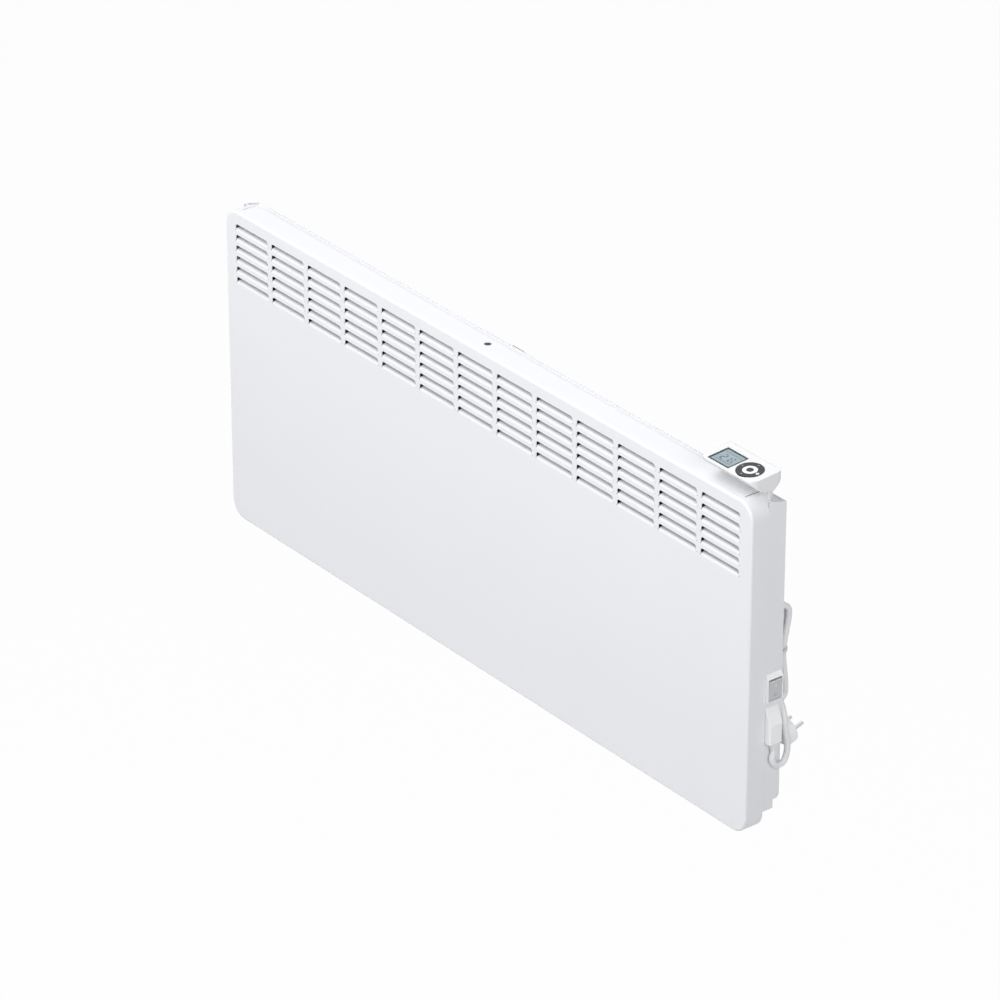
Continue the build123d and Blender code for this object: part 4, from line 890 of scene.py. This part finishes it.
# ---- control housing
@dataclass(frozen=True)
class Figure:
    """One seven-segment figure of the display.

    Its dark segments are lettered clockwise from the top one, and g is the middle one. Its place
    is that of its middle, seen from the display's middle, and its half height goes to its top
    segment.
    """

    lit: str
    right: float
    up: float
    half_height: float


SEGMENTS: dict[str, tuple[float, float]] = {
    "a": (0.0, 1.0),
    "b": (1.0, 0.5),
    "c": (1.0, -0.5),
    "d": (0.0, -1.0),
    "e": (-1.0, -0.5),
    "f": (-1.0, 0.5),
    "g": (0.0, 0.0),
}
LYING_SEGMENTS = "adg"


@dataclass
class ControlHousing:
    """Display and keys on top of the heater's right end."""

    tilt: float = math.radians(3.7)
    top_height: float = 0.1972
    tilt_at: float = -0.070
    ink: float = 0.08 * MM
    display_middle: tuple[float, float] = (0.4584, -0.0817)
    window_lift: float = -0.57 * MM
    glass: Colour = (0.19, 0.28, 0.32)
    glass_edge: Colour = (0.13, 0.21, 0.26)
    reading: tuple[Figure, ...] = (
        Figure("abged", -6.2 * MM, -1.2 * MM, 5.2 * MM),
        Figure("bc", 1.0 * MM, -1.2 * MM, 5.2 * MM),
        Figure("afgcd", 9.2 * MM, -3.2 * MM, 3.0 * MM),
    )
    figure_width: float = 0.52
    segment_width: float = 0.26
    lying_length: float = 1.48
    standing_length: float = 0.72
    dots: tuple[Place, ...] = ((5.9 * MM, -5.6 * MM, 0.7 * MM), (8.6 * MM, 3.6 * MM, 1.1 * MM))
    dashes: int = 7
    dash_pitch: float = 3.9 * MM
    dash_up: float = 9.3 * MM
    dash_size: tuple[float, float] = (2.5 * MM, 0.8 * MM)
    rule_up: float = -9.0 * MM
    rule_size: tuple[float, float] = (24.0 * MM, 0.5 * MM)
    keypad_middle: tuple[float, float] = (0.4977, -0.0818)
    key_lift: float = 0.62 * MM
    mark_circle: float = 13.3 * MM
    plus_size: tuple[float, float] = (4.6 * MM, 1.7 * MM)
    stub_size: tuple[float, float] = (1.7 * MM, 1.4 * MM)
    stub_out: float = 1.6 * MM
    minus_size: tuple[float, float] = (3.2 * MM, 1.0 * MM)
    arrow_radius: float = 1.8 * MM

    def on_top(self, x: float, y: float, lift: float) -> Matrix:
        """A place on the sloping top face.

        Args:
            x: Place along the heater.
            y: Place across it.
            lift: Height above the face, square to it.

        Returns:
            The place, turned so that its Z axis is square to the face.
        """
        height = self.top_height + (y - self.tilt_at) * math.tan(self.tilt)
        turn = Matrix.Rotation(self.tilt, 4, "X")
        return Matrix.Translation((x, y, height)) @ turn @ Matrix.Translation((0, 0, lift))

    def on_window(self, right: float, up: float) -> Matrix:
        """A place on the display's window, seen from the display's middle."""
        return self.on_top(self.display_middle[0] + right, self.display_middle[1] + up, self.window_lift)

    def on_keys(self, right: float, up: float) -> Matrix:
        """A place on the ring of keys, seen from the ring's middle."""
        return self.on_top(self.keypad_middle[0] + right, self.keypad_middle[1] + up, self.key_lift)

    def add_figure(self, shape: bmesh.types.BMesh, figure: Figure) -> None:
        """Adds one figure to the display.

        Args:
            shape: The bmesh to add to.
            figure: The figure.
        """
        half_width = figure.half_height * self.figure_width
        bar = figure.half_height * self.segment_width
        for letter in figure.lit:
            across, along = SEGMENTS[letter]
            place = self.on_window(
                figure.right + across * half_width, figure.up + along * figure.half_height
            )
            if letter in LYING_SEGMENTS:
                add_bar(shape, (half_width * self.lying_length, bar, self.ink), place)
            else:
                add_bar(shape, (bar, figure.half_height * self.standing_length, self.ink), place)

    def figures(self) -> None:
        """Figures and small signs on the display."""
        shape = bmesh.new()
        for figure in self.reading:
            self.add_figure(shape, figure)
        for right, up, radius in self.dots:
            add_disc(shape, radius, self.ink, self.on_window(right, up))
        for number in range(self.dashes):
            right = (number - (self.dashes - 1) / 2) * self.dash_pitch
            add_bar(shape, (*self.dash_size, self.ink), self.on_window(right, self.dash_up))
        add_bar(shape, (*self.rule_size, self.ink), self.on_window(0.0, self.rule_up))
        finished(shape, "display_figures", Body.HEATER, FIGURE_DARK)

    def key_marks(self) -> None:
        """Printed marks on the four ring keys: plus, minus and two arrows."""
        plus = bmesh.new()
        add_bar(plus, (*self.plus_size, self.ink), self.on_keys(self.mark_circle, 0.0))
        for side in (-1, 1):
            place = self.on_keys(self.mark_circle, side * self.stub_out)
            add_bar(plus, (*self.stub_size, self.ink), place)
        finished(plus, "mark_right", Body.RIGHT_KEY, MARK_WHITE)
        minus = bmesh.new()
        add_bar(minus, (*self.minus_size, self.ink), self.on_keys(-self.mark_circle, 0.0))
        finished(minus, "mark_left", Body.LEFT_KEY, MARK_FAINT)
        for name, body, side in (("mark_back", Body.REAR_KEY, 1), ("mark_front", Body.FRONT_KEY, -1)):
            arrow = bmesh.new()
            turn = Matrix.Rotation(math.radians(90 - 90 * side), 4, "Z")
            place = self.on_keys(0.0, side * self.mark_circle) @ turn
            add_disc(arrow, self.arrow_radius, self.ink, place, 3)
            finished(arrow, name, body, MARK_FAINT)

    def screen(self) -> BlueScreen:
        """The display window's finish.

        Returns:
            The finish.
        """
        low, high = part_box("display_window")
        middle = tuple((a + b) / 2 for a, b in zip(low, high))
        half_size = ((high[0] - low[0]) / 2, (high[1] - low[1]) / 2)
        return BlueScreen(self.glass, self.glass_edge, middle, half_size)

    def dress_all(self, nodes: Nodes) -> None:
        """Dresses the housing's nodes and adds the figures and marks.

        Args:
            nodes: The model's nodes by name.
        """
        finishes: dict[str, Finish] = {
            "control_cover": HOUSING_WHITE,
            "control_base": HOUSING_WHITE,
            "control_board": BOARD_GREEN,
            "board_pillars": HOUSING_WHITE,
            "display_module": CASE_BLACK,
            "display_frame": RIM_DARK,
            "display_window": self.screen(),
            "key_right": KEY_DARK,
            "key_back": KEY_DARK,
            "key_left": KEY_DARK,
            "key_front": KEY_DARK,
            "key_collar": COLLAR_WHITE,
            "key_centre": KEY_DARK,
            "key_domes": DOME_RUBBER,
        }
        dress_nodes(nodes, finishes)
        self.figures()
        self.key_marks()


# ---- switch and cord entry
@dataclass
class SideFittings:
    """Rocker switch and the cord's entry housing on the right side."""

    pivot: Place = (0.5208, -0.0607, -0.09125)
    rocker_tilt: float = math.radians(4.0)
    face_slope: float = math.radians(4.383)
    face_out: float = 8.0 * MM
    ink: float = 0.1 * MM
    line_up: float = 6.5 * MM
    line_size: tuple[float, float] = (1.0 * MM, 5.0 * MM)
    ring_up: float = -7.0 * MM
    ring_radius: float = 1.9 * MM
    ring_bore: float = 0.6
    ring_sides: int = 32

    def on_rocker(self, up: float) -> Matrix:
        """A place on the rocker's face, which slopes away from its middle on both sides.

        Args:
            up: Height above the pivot, along the face.

        Returns:
            The place, turned so that its X axis is square to the face.
        """
        slope = math.copysign(self.face_slope, up)
        out = self.face_out + abs(up) * math.tan(self.face_slope)
        rest = Matrix.Translation(self.pivot) @ Matrix.Rotation(self.rocker_tilt, 4, "Y")
        return rest @ Matrix.Translation((out, 0, up)) @ Matrix.Rotation(slope, 4, "Y")

    def rocker_marks(self) -> None:
        """A line and a ring on the rocker, for on and off."""
        line = bmesh.new()
        add_bar(line, (self.ink, *self.line_size), self.on_rocker(self.line_up))
        finished(line, "rocker_line", Body.ROCKER, MARK_WHITE)
        ring = bmesh.new()
        place = self.on_rocker(self.ring_up) @ Matrix.Rotation(math.radians(90), 4, "Y")
        place = place @ Matrix.Translation((0, 0, self.ink / 2))
        bmesh.ops.create_circle(
            ring, cap_ends=False, segments=self.ring_sides, radius=self.ring_radius, matrix=place
        )
        grown = bmesh.ops.extrude_edge_only(ring, edges=ring.edges[:])
        middle = place.to_translation()
        for vertex in (item for item in grown["geom"] if isinstance(item, bmesh.types.BMVert)):
            vertex.co = middle + (vertex.co - middle) * self.ring_bore
        finished(ring, "rocker_ring", Body.ROCKER, MARK_ENGRAVED)

    def dress_all(self, nodes: Nodes) -> None:
        """Dresses the switch's and the cord entry's nodes, and adds the rocker's marks.

        Args:
            nodes: The model's nodes by name.
        """
        finishes: dict[str, Finish] = {
            "switch_frame": ENTRY_WHITE,
            "switch_rocker": ROCKER_GREY,
            "cord_entry_housing": ENTRY_WHITE,
            "cord_gland": HOUSING_WHITE,
        }
        dress_nodes(nodes, finishes)
        self.rocker_marks()


# ---- cord
@dataclass
class SupplyCord:
    """The cord from its gland to the plug, with its hank tied behind the heater.

    Its sizes are in millimetres, and its length in metres. A run is a list of shares of the way
    between the hank's ends, each with the number of half waists that the run is off the middle.
    """

    radius: float = 4.0
    turns: int = 3
    step: float = 9.4
    outer_x: float = 500.0
    middle_y: float = -29.6
    top_z: float = -14.0
    low_z: float = -120.0
    top_radius: float = 13.42
    low_radius: float = 10.39
    arc_steps: int = 4
    waist_half: float = 4.3
    length: float = 1.025
    order: int = 3
    steps: int = 8
    round_steps: int = 5
    run_up: tuple[tuple[float, float], ...] = ((0.30, -1.55), (0.46, -1.0), (0.56, -1.0), (0.76, -1.9))
    run_down: tuple[tuple[float, float], ...] = ((0.76, 1.9), (0.56, 1.0), (0.46, 1.0), (0.30, 1.55))
    start: list[Place] = field(
        default_factory=lambda: [
            (528.8, -61.0, -173.0),
            (528.8, -61.0, -178.0),
            (528.8, -64.5, -187.0),
            (529.0, -57.5, -198.0),
            (529.3, -45.0, -198.0),
            (529.5, -39.5, -183.0),
            (529.6, -41.2, -166.0),
            (529.2, -44.8, -148.0),
            (525.0, -42.4, -132.0),
            (509.4, -39.2, -114.0),
            (509.4, -39.2, -91.0),
        ]
    )
    end: list[Place] = field(
        default_factory=lambda: [
            (481.2, -20.0, -123.0),
            (481.2, -20.0, -138.0),
            (457.7, -22.5, -148.8),
            (463.9, -36.7, -166.2),
            (486.5, -34.4, -166.2),
        ]
    )

    def arc(self, x: float, z: float, radius: float, first: float, last: float) -> list[Place]:
        """Control points of a half turn.

        Args:
            x: Place along the heater.
            z: Height of the half turn's middle.
            radius: Distance of the points from that middle.
            first: Angle of the first point, in degrees, from the wall's side upwards.
            last: Angle of the last point.

        Returns:
            The points, in millimetres.
        """
        step = (last - first) / self.arc_steps
        angles = [math.radians(first + step * number) for number in range(self.arc_steps + 1)]
        return [(x, self.middle_y + radius * math.cos(a), z + radius * math.sin(a)) for a in angles]

    def run(self, x0: float, x1: float, places: Sequence[tuple[float, float]]) -> list[Place]:
        """Control points of a straight run of the hank.

        Args:
            x0: Place along the heater at the hank's lower end.
            x1: Place along the heater at its upper end.
            places: Shares of the way up, each with its half waists off the middle.

        Returns:
            The points, in millimetres.
        """
        rise = self.top_z - self.low_z
        return [
            (x0 + (x1 - x0) * share, self.middle_y + side * self.waist_half, self.low_z + rise * share)
            for share, side in places
        ]

    def points(self) -> list[Place]:
        """The whole route's control points.

        Returns:
            The points, in millimetres.
        """
        route = list(self.start)
        for turn in range(self.turns):
            x = self.outer_x - turn * self.step
            # The list of the start already holds the first run's lowest point.
            route += self.run(x + self.step, x, self.run_up if turn else self.run_up[1:])
            route += self.arc(x, self.top_z, self.top_radius, 180, 0)
            route += self.run(x, x, self.run_down)
            if turn < self.turns - 1:
                route += self.arc(x, self.low_z, self.low_radius, 0, -180)
        return route + list(self.end)

    def build(self, nodes: Nodes) -> bpy.types.Object:
        """Makes the cord as one smooth curve.

        Args:
            nodes: The model's nodes by name; not used.

        Returns:
            The cord.
        """
        route = self.points()
        curve = bpy.data.curves.new("cord", "CURVE")
        curve.dimensions = "3D"
        curve.resolution_u = self.steps
        curve.bevel_depth = self.radius * MM
        curve.bevel_resolution = self.round_steps
        curve.use_fill_caps = True
        spline = curve.splines.new("NURBS")
        spline.points.add(len(route) - 1)
        for point, place in zip(spline.points, route):
            point.co = (place[0] * MM, place[1] * MM, place[2] * MM, 1.0)
        spline.order_u = self.order
        spline.use_endpoint_u = True
        cord = bpy.data.objects.new("cord", curve)
        bpy.context.scene.collection.objects.link(cord)
        curve.materials.append(SHEATH.material("cord_sheath"))
        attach(cord, Body.HEATER.value)
        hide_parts("supply_cord", "cord_hank", "cord_tail")
        exit_point = tuple(value * MM for value in route[0])
        LOG.info("cord: %d control points", len(route))
        return cord

    def dress_all(self, nodes: Nodes) -> None:
        """Dresses the plug and the tie.

        Args:
            nodes: The model's nodes by name.
        """
        finishes: dict[str, Finish] = {
            "plug_body": PLUG_WHITE,
            "plug_pins": NICKEL,
            "plug_earth_clips": NICKEL,
            "hank_tie": TIE_WHITE,
        }
        dress_nodes(nodes, finishes)


# ---- studio
@dataclass(frozen=True)
class Lamp:
    """A soft square lamp: where it stands, seen from the heater, how far off, its side and its watts."""

    name: str
    direction: Place
    distance: float
    size: float
    power: float


@dataclass
class Studio:
    """Floor, light and camera."""

    azimuth: float = math.radians(51.872)
    elevation: float = math.radians(28.064)
    camera_place: Place = (4.825454, -3.848397, 3.211759)
    lens: float = 200.344
    film_width: float = 36.0
    sight: float = 60.0
    floor_height: float = -1.6
    floor_reach: float = 30.0
    floor_white: float = 0.97
    floor_cloud: float = 1.5
    floor_greys: tuple[Colour, Colour] = ((0.88, 0.88, 0.88), (0.9, 0.9, 0.9))
    sky: Colour = (0.985, 0.992, 1.0)
    sky_light: float = 0.31
    target: Place = (0.0, -0.1, 0.0)
    lamps: tuple[Lamp, ...] = (
        Lamp("high_front", (-0.20, -0.62, 0.76), 2.6, 3.2, 87.0),
        Lamp("right_side", (0.88, -0.25, 0.40), 3.0, 1.6, 34.0),
        Lamp("high_back", (-0.30, 0.50, 0.85), 3.0, 2.0, 10.0),
    )

    def white_to_camera(
        self, graph: Graph, lit: bpy.types.NodeSocket, share: float
    ) -> bpy.types.NodeSocket:
        """Shows white to the camera and in reflections, and lights the object as given.

        Args:
            graph: The material's or world's graph.
            lit: The shader that the object sees.
            share: How much of the white the camera sees.

        Returns:
            The mixed shader's socket.
        """
        rays = graph.node("ShaderNodeLightPath")
        seen = Signal(graph, rays.outputs["Is Camera Ray"])
        for kind in ("Is Glossy Ray", "Is Transmission Ray"):
            seen = seen.maximum(Signal(graph, rays.outputs[kind]))
        shader = "ShaderNodeBackground" if lit.node.type == "BACKGROUND" else "ShaderNodeEmission"
        white = graph.node(shader, {}, {"Color": (1, 1, 1, 1), "Strength": 1.0})
        shaders: Inputs = {0: seen * share, 1: lit, 2: white.outputs[0]}
        return graph.node("ShaderNodeMixShader", {}, shaders).outputs[0]

    def make_world(self) -> None:
        """Even white surroundings."""
        world = bpy.data.worlds.new("surroundings")
        bpy.context.scene.world = world
        world.use_nodes = True
        graph = Graph(world.node_tree)
        sky: Inputs = {"Color": (*self.sky, 1), "Strength": self.sky_light}
        lit = graph.node("ShaderNodeBackground", {}, sky)
        shown = self.white_to_camera(graph, lit.outputs[0], 1.0)
        graph.node("ShaderNodeOutputWorld", {}, {"Surface": shown})

    def make_floor(self) -> None:
        """A wide pale floor, well below the heater."""
        shape = bmesh.new()
        place = Matrix.Translation((0, 0, self.floor_height))
        bmesh.ops.create_grid(shape, x_segments=1, y_segments=1, size=self.floor_reach, matrix=place)
        mesh = bpy.data.meshes.new("floor")
        shape.to_mesh(mesh)
        shape.free()
        floor = bpy.data.objects.new("floor", mesh)
        bpy.context.scene.collection.objects.link(floor)
        material = bpy.data.materials.new("floor_paint")
        material.use_nodes = True
        graph = Graph(material.node_tree)
        colour = graph.blend(graph.noise(self.floor_cloud, 2.0), *self.floor_greys)
        lit = graph.node("ShaderNodeBsdfDiffuse", {}, {"Color": colour})
        shown = self.white_to_camera(graph, lit.outputs[0], self.floor_white)
        graph.node("ShaderNodeOutputMaterial", {}, {"Surface": shown})
        floor.data.materials.append(material)

    def make_lamp(self, lamp: Lamp) -> None:
        """Makes a lamp that points at the heater.

        Args:
            lamp: The lamp.
        """
        light = bpy.data.lights.new(lamp.name, "AREA")
        light.size = lamp.size
        light.energy = lamp.power
        made = bpy.data.objects.new(lamp.name, light)
        back = Vector(lamp.direction).normalized()
        turn = (-back).to_track_quat("-Z", "Y").to_matrix().to_4x4()
        made.matrix_world = Matrix.Translation(Vector(self.target) + back * lamp.distance) @ turn
        bpy.context.scene.collection.objects.link(made)

    def make_camera(self) -> None:
        """The photograph's camera."""
        data = bpy.data.cameras.new("camera")
        data.sensor_width = self.film_width
        data.lens = self.lens
        data.clip_end = self.sight
        level = math.cos(self.elevation)
        back = Vector(
            (math.sin(self.azimuth) * level, -math.cos(self.azimuth) * level, math.sin(self.elevation))
        )
        right = Vector((0, 0, 1)).cross(back).normalized()
        up = back.cross(right)
        camera = bpy.data.objects.new("camera", data)
        turn = Matrix((right, up, back)).transposed().to_4x4()
        camera.matrix_world = Matrix.Translation(self.camera_place) @ turn
        bpy.context.scene.collection.objects.link(camera)
        bpy.context.scene.camera = camera

    def build(self) -> None:
        """Makes everything round the object."""
        self.make_world()
        self.make_floor()
        for lamp in self.lamps:
            self.make_lamp(lamp)
        self.make_camera()
        bpy.context.scene.view_settings.view_transform = "Standard"


def main() -> None:
    """Builds the whole scene."""
    logging.basicConfig(level=logging.INFO, format="%(name)s: %(message)s")
    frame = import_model()
    nodes = frame["nodes"]
    Studio().build()
    Casing().dress_all(nodes)
    WallBracket().dress_all(nodes)
    ControlHousing().dress_all(nodes)
    SideFittings().dress_all(nodes)
    cord = SupplyCord()
    cord.dress_all(nodes)
    cord.build(nodes)


if __name__ == "__main__":
    main()
